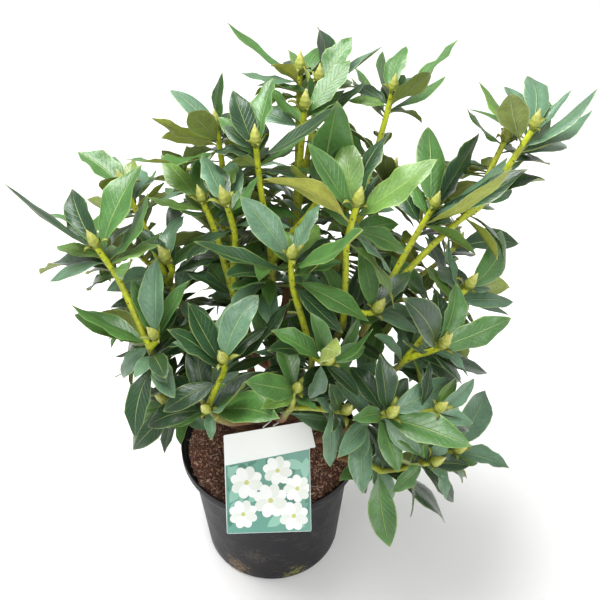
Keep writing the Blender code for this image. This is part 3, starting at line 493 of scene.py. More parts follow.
def shoot_axis(tip):
    """Shoots stand nearly upright at the top of the crown and lean out low on its sides."""
    share = min(max((tip.z - 0.28) / 0.32, 0), 1)
    lean = math.radians(62 - 48 * share)
    outward = Vector((tip.x, tip.y, 0))
    outward = outward.normalized() if outward.length > 0.01 else Vector((0, -1, 0))
    return (outward * math.sin(lean) + UP * math.cos(lean)).normalized()


print("plant rule ready")

# %% [markdown]
# Each shoot is given by where its bud stands. Leaves that shape the outline are listed by where
# their tips show from the front, in millimetres right of the bud and above it, and by how much
# of the upper face shows. The other leaves of a whorl are dealt out by the rule.

# %% Where the limbs run
def describe_plant():
    """Where the limbs run and where each shoot ends.

    seen lists the leaves that show from the front, from the topmost down. Each has how far right
    of and above the shoot's end its tip shows, in millimetres as seen from SEEN_FROM metres, and
    how much of its face shows: 1 is all of the upper face, 0 its edge and -1 all of the underside.
    """
    plant = Plant()
    plant.main_stem()
    stem = "main_stem"

    plant.bough("bough_centre", stem, 1.0, (0.007, 0.000, 0.428), 0.0078, 0.0042)
    plant.mass("centre", (0.007, 0.012, 0.462), fill=4)
    plant.shoot("centre", (-0.007, 0.040, 0.588),
                ((22, 66, 0.65), (-24, 55, 0.95), (81, 39, 0.40), (-38, 28, 0.80), (50, 12, 0.45),
                 (-26, -19, -0.70)))
    plant.shoot("centre", (0.064, 0.030, 0.547), ((14, 84, 0.80), (-36, 20, -0.50)), fill=7)

    plant.bough("bough_centre_left", "bough_centre", 0.36, (-0.026, -0.006, 0.400), 0.0048)
    plant.mass("centre_left", (-0.035, -0.006, 0.432), ((-45, 20, 0.70), (-25, -2, 0.60)), fill=4)
    plant.shoot("centre_left", (-0.062, 0.020, 0.533),
                ((-41, 49, 0.85), (-54, 4, 0.40), (-23, -13, 0.45)))
    plant.shoot("centre_left", (-0.036, 0.000, 0.544), ((-25, 50, 0.85), (30, 30, 0.50)))

    plant.bough("bough_top", "bough_centre", 0.55, (0.029, 0.046, 0.452), 0.0046)
    plant.mass("top", (0.033, 0.058, 0.480), fill=3)
    plant.shoot("top", (0.057, 0.130, 0.610), ((3, 54, 0.80), (35, 44, 0.80), (63, 36, 0.25)))
    plant.shoot("top", (0.042, 0.095, 0.597),
                ((-1, 43, 0.60), (43, 52, 0.80), (63, 28, 0.45), (-43, 27, 0.50)))
    plant.shoot("top", (0.037, 0.155, 0.608), ((-72, 51, 0.30), (-58, 0, 0.50), (-28, 8, -0.60)))

    plant.bough("bough_back_left", stem, 0.50, (-0.033, 0.062, 0.420), 0.0052)
    plant.mass("back_left", (-0.041, 0.072, 0.450), fill=3)
    plant.shoot("back_left", (-0.050, 0.090, 0.578),
                ((6, 56, 0.50), (-47, 38, 0.75), (-66, 10, -0.50), (-29, 15, -0.90),
                 (-56, -10, -0.60), (-92, -31, 0.20), (-34, -39, -0.60)))
    plant.shoot("back_left", (-0.100, 0.165, 0.470))
    plant.shoot("back_left", (-0.037, 0.185, 0.485), fill=8)

    plant.bough("bough_back_right", "bough_centre", 0.12, (0.081, 0.056, 0.430), 0.0050)
    plant.mass("back_right", (0.093, 0.066, 0.462), fill=3)
    plant.shoot("back_right", (0.135, 0.120, 0.604),
                ((10, 47, 0.85), (-9, 41, 0.50), (64, 53, 0.35), (38, 20, -0.70), (54, 14, 0.40),
                 (-39, 24, 0.35), (-42, 14, 0.25)))
    plant.shoot("back_right", (0.150, 0.190, 0.455))
    plant.shoot("back_right", (0.083, 0.190, 0.470), fill=8)

    plant.bough("bough_centre_right", stem, 0.61, (0.079, -0.040, 0.405), 0.0054)
    plant.mass("centre_right", (0.083, -0.042, 0.440),
               ((-26, 53, 0.75), (20, 53, 0.40), (-41, 30, 0.60), (62, 20, 0.70), (-21, -13, 0.90)),
               fill=2)
    plant.shoot("centre_right", (0.091, -0.040, 0.572),
                ((-12, 69, 1.00), (32, 73, 0.60), (-50, 62, 0.70), (80, 46, 0.60), (22, 29, 0.50),
                 (-94, 25, -0.60)))
    plant.shoot("centre_right", (0.115, -0.050, 0.445),
                ((-15, 65, 0.70), (34, 42, 0.85), (44, -22, 0.70), (-40, -35, 0.60)), fill=6)

    plant.bough("bough_centre_front", "bough_centre_right", 0.42, (0.049, -0.066, 0.372), 0.0042)
    plant.mass("centre_front", (0.050, -0.072, 0.402), ((-45, 5, 0.70),), fill=2)
    plant.shoot("centre_front", (0.029, -0.060, 0.525),
                ((-51, 62, 0.95), (30, 54, 0.70), (81, 29, 0.35), (-28, 22, -0.80),
                 (-98, 15, 0.45), (26, -7, 0.50)))
    plant.shoot("centre_front", (0.065, -0.110, 0.432),
                ((-13, 43, 0.80), (44, 34, 0.50), (-57, 32, 0.75), (12, 10, -0.50), (-20, -26, 0.90)))

    plant.bough("bough_right", stem, 0.42, (0.111, -0.014, 0.395), 0.0054)
    plant.mass("right", (0.123, -0.012, 0.428), ((10, 45, 0.80),), fill=3)
    plant.shoot("right", (0.174, 0.020, 0.526),
                ((-7, 81, 0.95), (46, 75, 0.60), (74, 51, 0.50), (9, 38, -0.80), (79, 41, -0.40),
                 (-22, 16, -0.70), (92, 44, 0.50)))
    plant.shoot("right", (0.273, 0.060, 0.595),
                ((-7, 53, 0.80), (-28, 43, 0.60), (-54, 47, 0.35), (38, 39, 0.40), (-24, 35, -0.90),
                 (64, 40, 0.35), (60, 18, 0.40), (14, 29, 0.40), (30, -16, 0.60)), off=0)
    plant.shoot("right", (0.253, 0.085, 0.567), ((-39, 31, 0.30), (13, -14, 0.60)),
                fill=5, off=2, share=0.55)
    plant.shoot("right", (0.233, 0.046, 0.516), ((60, 22, 0.60), (42, 38, 0.60)),
                fill=3, off=2, share=0.5)

    plant.bough("bough_right_side", "bough_right", 0.48, (0.137, -0.058, 0.366), 0.0042)
    plant.mass("right_side", (0.149, -0.062, 0.388), ((-30, 25, 0.60),), fill=3)
    plant.shoot("right_side", (0.181, -0.080, 0.424),
                ((15, 64, 0.75), (-38, 49, 0.85), (70, 30, 0.85), (-39, 5, 0.50), (22, -10, 0.60),
                 (47, -25, 0.60)))
    plant.shoot("right_side", (0.213, -0.020, 0.452),
                ((31, 59, 0.80), (-20, 47, 0.35), (-25, 24, 0.80), (42, 1, -0.70), (46, -15, 0.70),
                 (-40, 19, 0.60)))

    plant.bough("bough_front_right", stem, 0.30, (0.101, -0.094, 0.322), 0.0054, rise=0.4)
    plant.mass("front_right", (0.115, -0.108, 0.348), fill=3)
    plant.shoot("front_right", (0.128, -0.130, 0.377),
                ((-12, 61, 0.90), (-39, 48, 0.85), (64, 35, 1.00), (-37, -8, 1.00), (36, -42, 0.95),
                 (82, -31, 0.80), (9, -58, 0.95)))
    plant.shoot("front_right", (0.177, -0.124, 0.377), ((37, 32, 0.80), (30, -10, 0.70)), fill=7)

    plant.bough("bough_front", stem, 0.71, (0.021, -0.078, 0.318), 0.0048, rise=1.3)
    plant.mass("front", (0.029, -0.092, 0.346), fill=3)
    plant.shoot("front", (0.034, -0.110, 0.392),
                ((-52, 8, 0.90), (-35, -20, 0.90), (30, 20, 0.90), (20, -20, 0.60)), fill=7)
    plant.shoot("front", (0.083, -0.120, 0.370),
                ((-15, 28, 0.90), (20, 25, 0.80), (-30, 12, 0.80), (-10, -20, 0.60),
                 (-12, -55, 0.80)), fill=5)

    plant.bough("bough_low_right", "bough_front_right", 0.40, (0.107, -0.088, 0.250), 0.0042)
    plant.mass("low_right", (0.130, -0.102, 0.248),
               ((10, -75, 1.00), (63, -51, 0.60), (-42, 22, 0.70), (-42, -9, 0.70), (-18, -22, 0.60)),
               fill=2)
    plant.shoot("low_right", (0.183, -0.110, 0.274),
                ((-4, 31, 0.50), (-35, 0, 0.30), (-39, -31, 0.80), (20, -41, 0.70)), fill=8)
    plant.shoot("low_right", (0.212, -0.090, 0.270),
                ((30, 61, 0.95), (54, -17, 0.80), (7, -32, 0.65)), fill=7)

    plant.bough("bough_front_left", stem, 0.51, (-0.055, -0.096, 0.336), 0.0050, rise=1.7)
    plant.mass("front_left", (-0.060, -0.110, 0.362), ((73, -12, 0.85), (-41, -16, 0.95)), fill=1)
    plant.shoot("front_left", (-0.058, -0.116, 0.367), ((37, 29, 0.40), (0, -22, 0.95)), fill=2)
    plant.shoot("front_left", (-0.038, -0.108, 0.432),
                ((34, 66, 0.85), (9, 58, 0.65), (-36, 59, 0.85), (67, 59, 0.50), (-56, 33, 0.60),
                 (-50, 18, 0.85), (51, 6, 0.60), (-2, -18, -0.60)))

    plant.bough("bough_left", stem, 0.33, (-0.113, -0.066, 0.384), 0.0054)
    plant.mass("left", (-0.119, -0.069, 0.412), fill=2)
    plant.shoot("left", (-0.110, -0.070, 0.427),
                ((-1, 81, 0.80), (-24, 59, 0.70), (35, 57, 0.70), (10, 39, 0.50), (-85, 33, 0.40),
                 (-82, 24, 0.85), (-57, 24, -0.95), (-32, -40, 0.80)))
    plant.shoot("left", (-0.166, -0.030, 0.515),
                ((-92, 61, 0.25), (42, 84, 0.80), (-26, 57, 0.95), (-34, 51, 0.60), (51, 54, 0.40),
                 (64, 14, 0.35), (34, -15, 0.50), (-56, -29, 0.55)), fill=9)

    plant.bough("bough_low_left", "bough_left", 0.38, (-0.089, -0.052, 0.292), 0.0042)
    plant.mass("low_left", (-0.101, -0.056, 0.306), fill=2)
    plant.shoot("low_left", (-0.111, -0.060, 0.320),
                ((14, 35, 0.80), (-32, 17, 0.60), (-35, -30, 0.85), (-3, -50, 0.70), (30, -10, 0.80)),
                fill=6)
    plant.shoot("low_left", (-0.125, 0.000, 0.335), fill=6)

    plant.bough("bough_left_back", stem, 0.70, (-0.095, 0.018, 0.392), 0.0052)
    plant.mass("left_back", (-0.107, 0.020, 0.424), fill=3)
    plant.shoot("left_back", (-0.103, 0.006, 0.466),
                ((15, 46, 0.70), (-31, 38, 0.80), (29, 18, 0.60)), fill=7)
    plant.shoot("left_back", (-0.149, 0.060, 0.521),
                ((-48, 37, 0.85), (-13, 33, 0.90), (31, 20, 0.25), (-21, 14, -0.80), (39, 8, -0.40),
                 (-38, -9, -0.50), (27, -19, -0.70)), fill=8)
    plant.shoot("left_back", (-0.160, 0.085, 0.430), fill=7)

    plant.bough("bough_left_low", "bough_left_back", 0.34, (-0.099, 0.034, 0.300), 0.0042)
    plant.mass("left_low", (-0.115, 0.040, 0.318), fill=3)
    plant.shoot("left_low", (-0.150, 0.030, 0.372), fill=8)
    plant.shoot("left_low", (-0.140, 0.105, 0.350), fill=8)

    plant.bough("bough_back", stem, 0.29, (-0.003, 0.104, 0.336), 0.0052)
    plant.mass("back", (-0.005, 0.122, 0.360), fill=4)
    plant.shoot("back", (-0.017, 0.205, 0.400), fill=9)
    plant.shoot("back", (0.033, 0.165, 0.430), fill=9)
    plant.shoot("back", (-0.072, 0.170, 0.385), fill=8)

    plant.bough("bough_back_low", "bough_back", 0.36, (0.061, 0.092, 0.296), 0.0042)
    plant.mass("back_low", (0.073, 0.108, 0.312), fill=3)
    plant.shoot("back_low", (0.101, 0.180, 0.366), fill=9)
    plant.shoot("back_low", (0.023, 0.190, 0.310), fill=7)

    plant.bough("bough_right_back", stem, 0.24, (0.121, 0.052, 0.340), 0.0052)
    plant.mass("right_back", (0.137, 0.060, 0.364), fill=4)
    plant.shoot("right_back", (0.223, 0.110, 0.406), ((63, 3, 0.80), (-30, -8, -0.40)), fill=9)
    plant.shoot("right_back", (0.218, 0.045, 0.385), fill=9)
    plant.shoot("right_back", (0.163, 0.135, 0.360), fill=8)
    return plant


plant = describe_plant()
print(len(plant.limbs), "limbs,", len(plant.masses), "masses")

# %% [markdown]
# ## Where the leaves stand
# Leaves may not grow through each other, through a limb, or into the pot. So each new leaf is
# first tried as a coarse skin with a little air round it, against search trees of all that
# stands already. One that meets something is turned a little and tried again, or left out.

# %% Coarse skins for the tests
def turns(count):
    """Even angles all the way round."""
    return [math.tau * i / count for i in range(count)]


def polar(radius, angle, height):
    """A place at an angle round the middle."""
    return radius * math.cos(angle), radius * math.sin(angle), height


def tube_rings(points, radii, sides):
    """Rings of points round a path, carried along it without twisting."""
    rings = []
    side = None
    last = len(points) - 1
    for i, point in enumerate(points):
        along = (points[min(i + 1, last)] - points[max(i - 1, 0)]).normalized()
        if side is None:
            side = along.orthogonal().normalized()
        side = (side - along * side.dot(along)).normalized()
        other = along.cross(side)
        rings.append([
            point + (side * math.cos(a) + other * math.sin(a)) * radii[i] for a in turns(sides)])
    return rings


def loft(rings):
    """Points and faces of a closed skin over rings; the last ring may be a single point."""
    points = [point for ring in rings for point in ring]
    sides = len(rings[0])
    faces = [tuple(range(sides))[::-1]]
    for i in range(len(rings) - 1):
        low = i * sides
        high = low + sides
        for j in range(sides):
            k = (j + 1) % sides
            if len(rings[i + 1]) == 1:
                faces.append((low + j, low + k, high))
            else:
                faces.append((low + j, low + k, high + k, high + j))
    if len(rings[-1]) > 1:
        low = (len(rings) - 1) * sides
        faces.append(tuple(low + j for j in range(sides)))
    return points, faces


def leaf_rings(leaf, first=0.0, swell=0.0):
    """Sections across a leaf: two edges and a keel, along a spine that bends down."""
    rings = []
    for share in (first, LEAF_NECK, LEAF_WIDEST):
        if share < first or len(rings) and share == first:
            continue
        point, along, face = leaf_spine(leaf, share)
        side = face.cross(along)
        fullness = max(0, share - LEAF_NECK) / (LEAF_WIDEST - LEAF_NECK)
        half = LEAF_ROOT + (leaf["width"] / 2 - LEAF_ROOT) * fullness + swell
        top = face * (LEAF_ROOT / 2 * (1 - fullness) + swell)
        keel = face * (LEAF_ROOT / 2 + (LEAF_KEEL - LEAF_ROOT / 2) * min(fullness * 2, 1) + swell)
        rings.append([point + side * half + top, point - side * half + top, point - keel])
    tip, along, face = leaf_spine(leaf, 1.0)
    return rings + [[tip + along * swell]]


def leaf_spine(leaf, share):
    """Point, direction and face of a leaf at a share of its length."""
    bend = leaf["bend"]
    turn = bend * share
    ahead = math.sin(turn) / bend * leaf["length"]
    down = (1 - math.cos(turn)) / bend * leaf["length"]
    point = leaf["root"] + leaf["way"] * ahead - leaf["face"] * down
    along = leaf["way"] * math.cos(turn) - leaf["face"] * math.sin(turn)
    face = leaf["face"] * math.cos(turn) + leaf["way"] * math.sin(turn)
    return point, along, face


def bud_rings(twig):
    """A pointed bud that stands on the end of its shoot."""
    foot = twig["points"][-1] - twig["way"] * 0.002
    stations = (0.0, 0.42)
    radii = (TWIG_TIP_RADIUS * 0.8, BUD_RADIUS)
    points = [foot + twig["way"] * BUD_LENGTH * share for share in stations]
    return tube_rings(points, radii, 4) + [[foot + twig["way"] * (BUD_LENGTH + 0.002)]]


print("skins ready")

# %% How a leaf is aimed
def aimed_leaf(twig, rank, azimuth, length, chance, tilt=0):
    """A leaf of a whorl: the higher ones stand up, the lower ones lie flat or hang."""
    back = FIRST_LEAF_BACK + LEAF_SPACING * rank
    root, axis = point_on(twig["points"], max(1 - back / path_length(twig["points"]), 0.25))
    axis = (axis + twig["way"]).normalized()
    pitch = max(PITCH_TOP - PITCH_STEP * rank, PITCH_LOW) + math.radians(tilt + chance.uniform(-7, 7))
    side = axis.orthogonal().normalized()
    other = axis.cross(side)
    outward = side * math.cos(azimuth) + other * math.sin(azimuth)
    way = outward * math.cos(pitch) + axis * math.sin(pitch)
    if way.z < -0.45:
        way = (way + UP * 0.35).normalized()
    face = axis * math.cos(pitch) - outward * math.sin(pitch)
    face = face + UP * 0.35
    face = (face - way * face.dot(way)).normalized()
    roll = math.radians(chance.uniform(-24, 24))
    face = Matrix.Rotation(roll, 3, way) @ face
    return {
        "root": root, "way": way, "face": face, "length": length,
        "width": length * LEAF_WIDTH_SHARE * chance.uniform(0.86, 1.10),
        "bend": math.radians(chance.uniform(12, 52)), "rank": rank}


def as_seen(vector):
    """A point or direction flattened to what shows from the front."""
    return Vector((vector.dot(SEEN_RIGHT), vector.dot(SEEN_UP)))


def seen_at(point):
    """Where a point shows from the front, on a plane SEEN_FROM away."""
    away = point - EYE
    return as_seen(away) * (-SEEN_FROM / away.dot(TOWARDS_EYE))


def in_a_gap(leaf):
    """True if a leaf would show in one of the open gaps."""
    for share in (0.4, 0.6, 0.8, 1.0):
        shown = seen_at(leaf_spine(leaf, share)[0]) * 1000
        if any(math.hypot(shown.x - x, shown.y - y) < reach for x, y, reach in GAPS):
            return True
    return False


def show_face(leaf, show):
    """Roll a leaf about its own direction until the wanted share of its face shows."""
    _, along, face = leaf_spine(leaf, 0.5)
    eye = (EYE - leaf["root"]).normalized()
    flat = (eye - along * eye.dot(along)).normalized()
    now = math.atan2(along.dot(face.cross(flat)), face.dot(flat))
    wanted = math.acos(show)
    roll = min((now - wanted, now + wanted), key=lambda angle: abs(math.remainder(angle, math.tau)))
    roll = math.remainder(roll, math.tau)
    leaf["face"] = Matrix.Rotation(roll, 3, leaf["way"]) @ leaf["face"]
    return abs(math.degrees(roll))


def seen_leaves(twig, rank, place, turn, seed):
    """The leaves of a whorl's cone whose tips show nearest to the wanted place, best first."""
    offset = Matrix.Rotation(math.radians(turn), 2) @ Vector(place[:2]) * 0.001
    goal = seen_at(twig["points"][-1]) + offset
    shortest = min(SHORTEST_LEAF, offset.length * 1.6)
    scored = []
    for tilt in SEEN_TILTS:
        for step in range(SEEN_STEPS):
            azimuth = math.tau * step / SEEN_STEPS
            leaf = aimed_leaf(twig, rank, azimuth, 1.0, random.Random(seed), tilt)
            if abs(place[2]) < EDGE_ON:
                leaf["bend"] *= EDGE_ON_BEND
            roll = show_face(leaf, place[2])
            chord = leaf_spine(leaf, 1.0)[0] - leaf["root"]
            root = seen_at(leaf["root"])
            length = (SHORTEST_LEAF + LONGEST_LEAF) / 2
            for refinement in range(2):
                shown = seen_at(leaf["root"] + chord * length) - root
                length *= shown.dot(goal - root) / max(shown.length_squared, 0.0001)
                length = min(max(length, shortest), LONGEST_LEAF)
            miss = (seen_at(leaf["root"] + chord * length) - goal).length * 1000
            score = miss + ROLL_COST * roll + 2 * chord.dot(TOWARDS_EYE) + 0.06 * abs(tilt)
            leaf["width"] *= length
            leaf["length"] = length
            scored.append((score, leaf))
    scored.sort(key=lambda pair: pair[0])
    return [leaf for score, leaf in scored[:SEEN_CHOICES]]


print("aiming ready")

# %% What keeps a leaf out
def skin_tree(rings):
    """A search tree over a skin."""
    points, faces = loft(rings)
    return BVHTree.FromPolygons(points, faces), bounds_of(points)


def bounds_of(points):
    """Lowest and highest corner of some points."""
    low = [min(p[k] for p in points) for k in range(3)]
    high = [max(p[k] for p in points) for k in range(3)]
    return low, high


class Room:
    """What already stands in the crown, so that nothing grows through anything else."""

    def __init__(self):
        self.stood = []

    def add(self, rings, owner):
        tree, (low, high) = skin_tree(rings)
        self.stood.append((low, high, tree, owner))

    def meets(self, rings, owner, own):
        """True if the skin meets what stands there, either of its own mass or of others."""
        tree, (low, high) = skin_tree(rings)
        for other_low, other_high, other_tree, other_owner in self.stood:
            if (other_owner == owner) != own:
                continue
            if any(low[k] > other_high[k] or high[k] < other_low[k] for k in range(3)):
                continue
            if tree.overlap(other_tree):
                return True
        return False


def clear_of_pot(rings):
    """True if every point of a skin is above the floor and outside the pot and the card."""
    back_to_card = card_place().inverted()
    for ring in rings:
        for point in ring:
            if point.z < 0.004:
                return False
            if point.z < POT_HEIGHT + 0.004 and math.hypot(point.x, point.y) < RIM_RADIUS + 0.006:
                return False
            flat = back_to_card @ point
            beside = CARD_LEFT - 0.012 < flat.x < CARD_RIGHT + 0.012
            level = CARD_FOOT - 0.010 < flat.y < CARD_TOP_RIGHT + 0.014
            if beside and level and abs(flat.z) < 0.006:
                return False
    return True


def in_own_space(leaf, name, whorls):
    """A mass keeps to the space round its own whorls, give or take a little."""
    tip = leaf_spine(leaf, 1.0)[0]
    own = min((tip - place).length for place in whorls[name])
    elsewhere = [place for key, group in whorls.items() if key != name for place in group]
    others = min((tip - place).length for place in elsewhere)
    return own - others < OVERREACH


print("tests ready")

# %% Deal out the leaves
def grow(plant):
    """Deal out the leaves: first those that shape the outline, then the rest of each whorl."""
    room = Room()
    for limb in plant.limbs.values():
        room.add(tube_rings(limb["points"], [r + CLEARANCE for r in limb["radii"]], 6), "limb")
    whorls = {name: [twig["points"][-1] for twig in twigs] for name, twigs in plant.masses.items()}
    for name, twigs in plant.masses.items():
        for twig in twigs:
            room.add(tube_rings(twig["points"], [r + CLEARANCE for r in twig["radii"]], 4), name)
            if twig["bud"]:
                room.add(bud_rings(twig), name)
    leaves = {name: [] for name in plant.masses}

    def try_leaf(name, leaf):
        outer = leaf_rings(leaf, LEAF_NECK, CLEARANCE)
        whole = leaf_rings(leaf, 0.08, CLEARANCE)
        if not clear_of_pot(whole) or not in_own_space(leaf, name, whorls):
            return False
        if room.meets(outer, name, True) or room.meets(whole, name, False):
            return False
        leaves[name].append(leaf)
        room.add(leaf_rings(leaf), name)
        return True

    seed = SEED
    for name, twigs in plant.masses.items():
        for twig in twigs:
            twig["dealt"] = 0
            for rank, place in enumerate(twig["seen"]):
                seed += 1
                for attempt, (turn, lower) in enumerate(NUDGES):
                    choices = seen_leaves(twig, max(rank + lower, 0), place, turn, seed * 10 + attempt)
                    if any(try_leaf(name, leaf) for leaf in choices):
                        twig["dealt"] += 1
                        break
    for name, twigs in plant.masses.items():
        for twig in twigs:
            seed += 1
            chance = random.Random(seed)
            turn = chance.uniform(0, math.tau)
            first = (0 if twig["bud"] else 1) + twig["dealt"] // 2
            for index in range(max(twig["fill"] - twig["dealt"], min(twig["fill"], 2))):
                rank = first + index
                length = (TOP_LEAF + LEAF_GROWTH * rank) * chance.uniform(0.92, 1.12)
                for attempt in range(10):
                    azimuth = turn + GOLDEN_ANGLE * index + attempt * 0.6
                    leaf = aimed_leaf(twig, rank, azimuth, length, chance)
                    if in_a_gap(leaf) or twig["seen"] and leaf["way"].dot(TOWARDS_EYE) > HIDDEN:
                        continue
                    if try_leaf(name, leaf):
                        break
    return leaves, try_leaf


leaves, try_leaf = grow(plant)
print(sum(len(group) for group in leaves.values()), "leaves of the packed solids")

# %% [markdown]
# ## Materials
# Plant and pot share a few effects: fine mottling breaks up every flat colour, and dust and soil
# gather low on the pot. Each effect that several materials use is a shader group that is built
# once and given its own numbers in each material. Groups put out only colours, masks and
# heights; the Principled shader itself stays in the material, where its gloss is easy to read.

# %% Shared effect: mottling
def mottling_group():
    """A colour that wanders a little lighter and darker, and a height that follows it."""
    tree, given, out = new_tree(
        "mottling", "ShaderNodeTree",
        (("Color", "Color", (0.5, 0.5, 0.5, 1)), ("Scale", "Float", 60.0), ("Amount", "Float", 0.2)),
        (("Color", "Color", None), ("Height", "Float", None)))
    place = put(tree, "ShaderNodeTexCoord").outputs["Object"]
    broad = clouds(tree, place, given["Scale"], 4.0, 0.6)
    fine = clouds(tree, place, times(tree, given["Scale"], 7.0), 3.0)
    height = plus(tree, times(tree, broad, 0.65), times(tree, fine, 0.35))
    spread = times(tree, minus(tree, height, 0.5), given["Amount"])
    value = plus(tree, times(tree, spread, 4.0), 1.0)
    tinted = put(tree, "ShaderNodeHueSaturation", {"Value": value, "Color": given["Color"]})
    tree.links.new(tinted.outputs["Color"], out["Color"])
    tree.links.new(height, out["Height"])
    return tree


MOTTLING = mottling_group()


def new_material(name, roughness, specular=0.5, coat=0.0, coat_roughness=0.2):
    """A material with an empty Principled shader whose plain values are set on its sockets."""
    made = bpy.data.materials.new(name)
    made.use_nodes = True
    tree = made.node_tree
    shader = tree.nodes["Principled BSDF"]
    shader.inputs["Roughness"].default_value = roughness
    shader.inputs["Specular IOR Level"].default_value = specular
    shader.inputs["Coat Weight"].default_value = coat
    shader.inputs["Coat Roughness"].default_value = coat_roughness
    return made, tree, shader


def bump(tree, shader, height, distance):
    """Let a height tilt the surface's normals."""
    node = put(tree, "ShaderNodeBump", {"Height": height, "Distance": distance, "Strength": 1.0})
    tree.links.new(node.outputs["Normal"], shader.inputs["Normal"])


def group_node(tree, group, feeds):
    """Use a shader group in a material."""
    return put(tree, "ShaderNodeGroup", feeds, node_tree=group)


def wear(tree, shader, group, distance):
    """Take colour and relief from a group."""
    tree.links.new(group.outputs["Color"], shader.inputs["Base Color"])
    bump(tree, shader, group.outputs["Height"], distance)


def set_stops(ramp, stops):
    """Give a ramp its colours: (position, colour) in rising order."""
    ramp.color_ramp.elements[1].position = 1.0
    while len(ramp.color_ramp.elements) < len(stops):
        ramp.color_ramp.elements.new(0.5)
    for element, (position, colour) in zip(ramp.color_ramp.elements, stops):
        element.position = position
        element.color = (*colour, 1)


def mottled(name, colour, roughness, scale, amount, height=0.0002, **gloss):
    """A plain finish: one colour with mottling and a little relief."""
    made, tree, shader = new_material(name, roughness, **gloss)
    group = group_node(tree, MOTTLING, {"Color": (*colour, 1), "Scale": scale, "Amount": amount})
    wear(tree, shader, group, height)
    return made


print("mottling group ready")

# %% [markdown]
# ### Leaf finish
# A leaf of this shrub is leathery and satin. A pale rib runs up its middle, faint side veins
# leave it and curve towards the tip, and the very edge and tip are thin and pale. Those lines
# follow the blade, so they are drawn from the blade's own map: across it from 0 to 1 and along
# it from 0 to 1. Each leaf takes one of a few plain greens, dealt out leaf by leaf, and the
# underside is matt and yellower, with raised veins.

# %% Shared effect: ribs and veins
def vein_group():
    """Rib, side veins, pale edge and tip, as one colour, with a height for the relief."""
    tree, given, out = new_tree(
        "leaf_veins", "ShaderNodeTree",
        (("Blade", "Color", (0.05, 0.14, 0.05, 1)), ("Rib", "Color", (0.3, 0.4, 0.15, 1)),
         ("Veins", "Float", 0.25), ("Edge", "Float", 0.35)),
        (("Color", "Color", None), ("Height", "Float", None)))
    blade = put(tree, "ShaderNodeUVMap", uv_map="blade").outputs[0]
    spot = put(tree, "ShaderNodeSeparateXYZ", {0: blade})
    off = calc(tree, "ABSOLUTE", minus(tree, spot.outputs["X"], 0.5))
    along = spot.outputs["Y"]
    rib = ranged(tree, off, 0.010, 0.030, 1.0, 0.0)
    phase = minus(tree, times(tree, along, 12.0), times(tree, off, 5.5))
    wave = calc(tree, "ABSOLUTE", minus(tree, calc(tree, "FRACT", phase), 0.5))
    vein = ranged(tree, wave, 0.02, 0.12, 1.0, 0.0)
    edge = ranged(tree, off, 0.445, 0.480, 0.0, 1.0)
    mottle = group_node(tree, MOTTLING, {
        "Color": given["Blade"], "Scale": 45.0, "Amount": 0.42})
    tip = ranged(tree, along, 0.93, 0.99, 0.0, 0.6)
    pale = plus(tree, times(tree, vein, given["Veins"]),
                plus(tree, times(tree, edge, given["Edge"]), tip))
    mask = calc(tree, "MINIMUM", plus(tree, times(tree, rib, 0.7), pale), 1.0)
    colour = blend(tree, mask, mottle.outputs["Color"], given["Rib"])
    tree.links.new(colour, out["Color"])
    sunk = plus(tree, rib, times(tree, vein, 0.22))
    height = minus(tree, times(tree, mottle.outputs["Height"], 1.3), sunk)
    tree.links.new(height, out["Height"])
    return tree


VEINS = vein_group()


def leaf_material(name, blade, rib, roughness, veins, edge, relief, **gloss):
    """One green of the foliage."""
    made, tree, shader = new_material(name, roughness, **gloss)
    group = group_node(tree, VEINS, {
        "Blade": (*blade, 1), "Rib": (*rib, 1), "Veins": veins, "Edge": edge})
    wear(tree, shader, group, relief)
    return made


UPPER_GREENS = {
    "deep": (0.016, 0.053, 0.018),
    "mid": (0.064, 0.166, 0.038),
    "grey": (0.104, 0.206, 0.120),
    "fresh": (0.118, 0.228, 0.046),
    "young": (0.150, 0.215, 0.038)}
UNDER_GREENS = {
    "dull": (0.21, 0.265, 0.060),
    "olive": (0.30, 0.345, 0.052),
    "pale": (0.40, 0.41, 0.075)}
RIB_TINT = (0.22, 0.28, 0.080)
UPPER = {
    name: leaf_material(
        "leaf_" + name, colour, [0.6 * c + tint for c, tint in zip(colour, RIB_TINT)],
        0.34, 0.10, 0.62, 0.0006, specular=0.58, coat=0.08, coat_roughness=0.30)
    for name, colour in UPPER_GREENS.items()}
UNDER = {
    name: leaf_material(
        "underside_" + name, colour, [1.2 * c + 0.13 for c in colour],
        0.62, 0.22, 0.80, -0.0005, specular=0.30)
    for name, colour in UNDER_GREENS.items()}
print(len(UPPER), "greens above,", len(UNDER), "below")

# %% [markdown]
# ### Bark
# Old wood at the foot is red-brown and cracked along its length; the young shoots are smooth and
# lime green. Each limb carries its age as a number on its points, from 1 at the foot to 0 at the
# tips, and the bark's colour and roughness follow that number.

# %% Bark
def bark_material():
    """Red-brown old wood that passes into lime-green young stems."""
    made, tree, shader = new_material("bark", 0.6, specular=0.4)
    place = put(tree, "ShaderNodeTexCoord").outputs["Object"]
    age = put(tree, "ShaderNodeAttribute", attribute_name="age").outputs["Fac"]
    blotch = clouds(tree, place, 55.0, 3.0)
    shifted = plus(tree, age, times(tree, minus(tree, blotch, 0.5), 0.55))
    ramp = put(tree, "ShaderNodeValToRGB", {"Fac": shifted})
    stops = ((0.0, (0.43, 0.48, 0.018)), (0.30, (0.19, 0.20, 0.035)), (0.55, (0.17, 0.085, 0.030)),
             (1.0, (0.105, 0.042, 0.026)))
    set_stops(ramp, stops)
    mottle = group_node(tree, MOTTLING, {
        "Color": ramp.outputs["Color"], "Scale": 220.0, "Amount": 0.60})
    wear(tree, shader, mottle, 0.0009)
    tree.links.new(ranged(tree, shifted, 0.1, 0.7, 0.42, 0.85), shader.inputs["Roughness"])
    return made


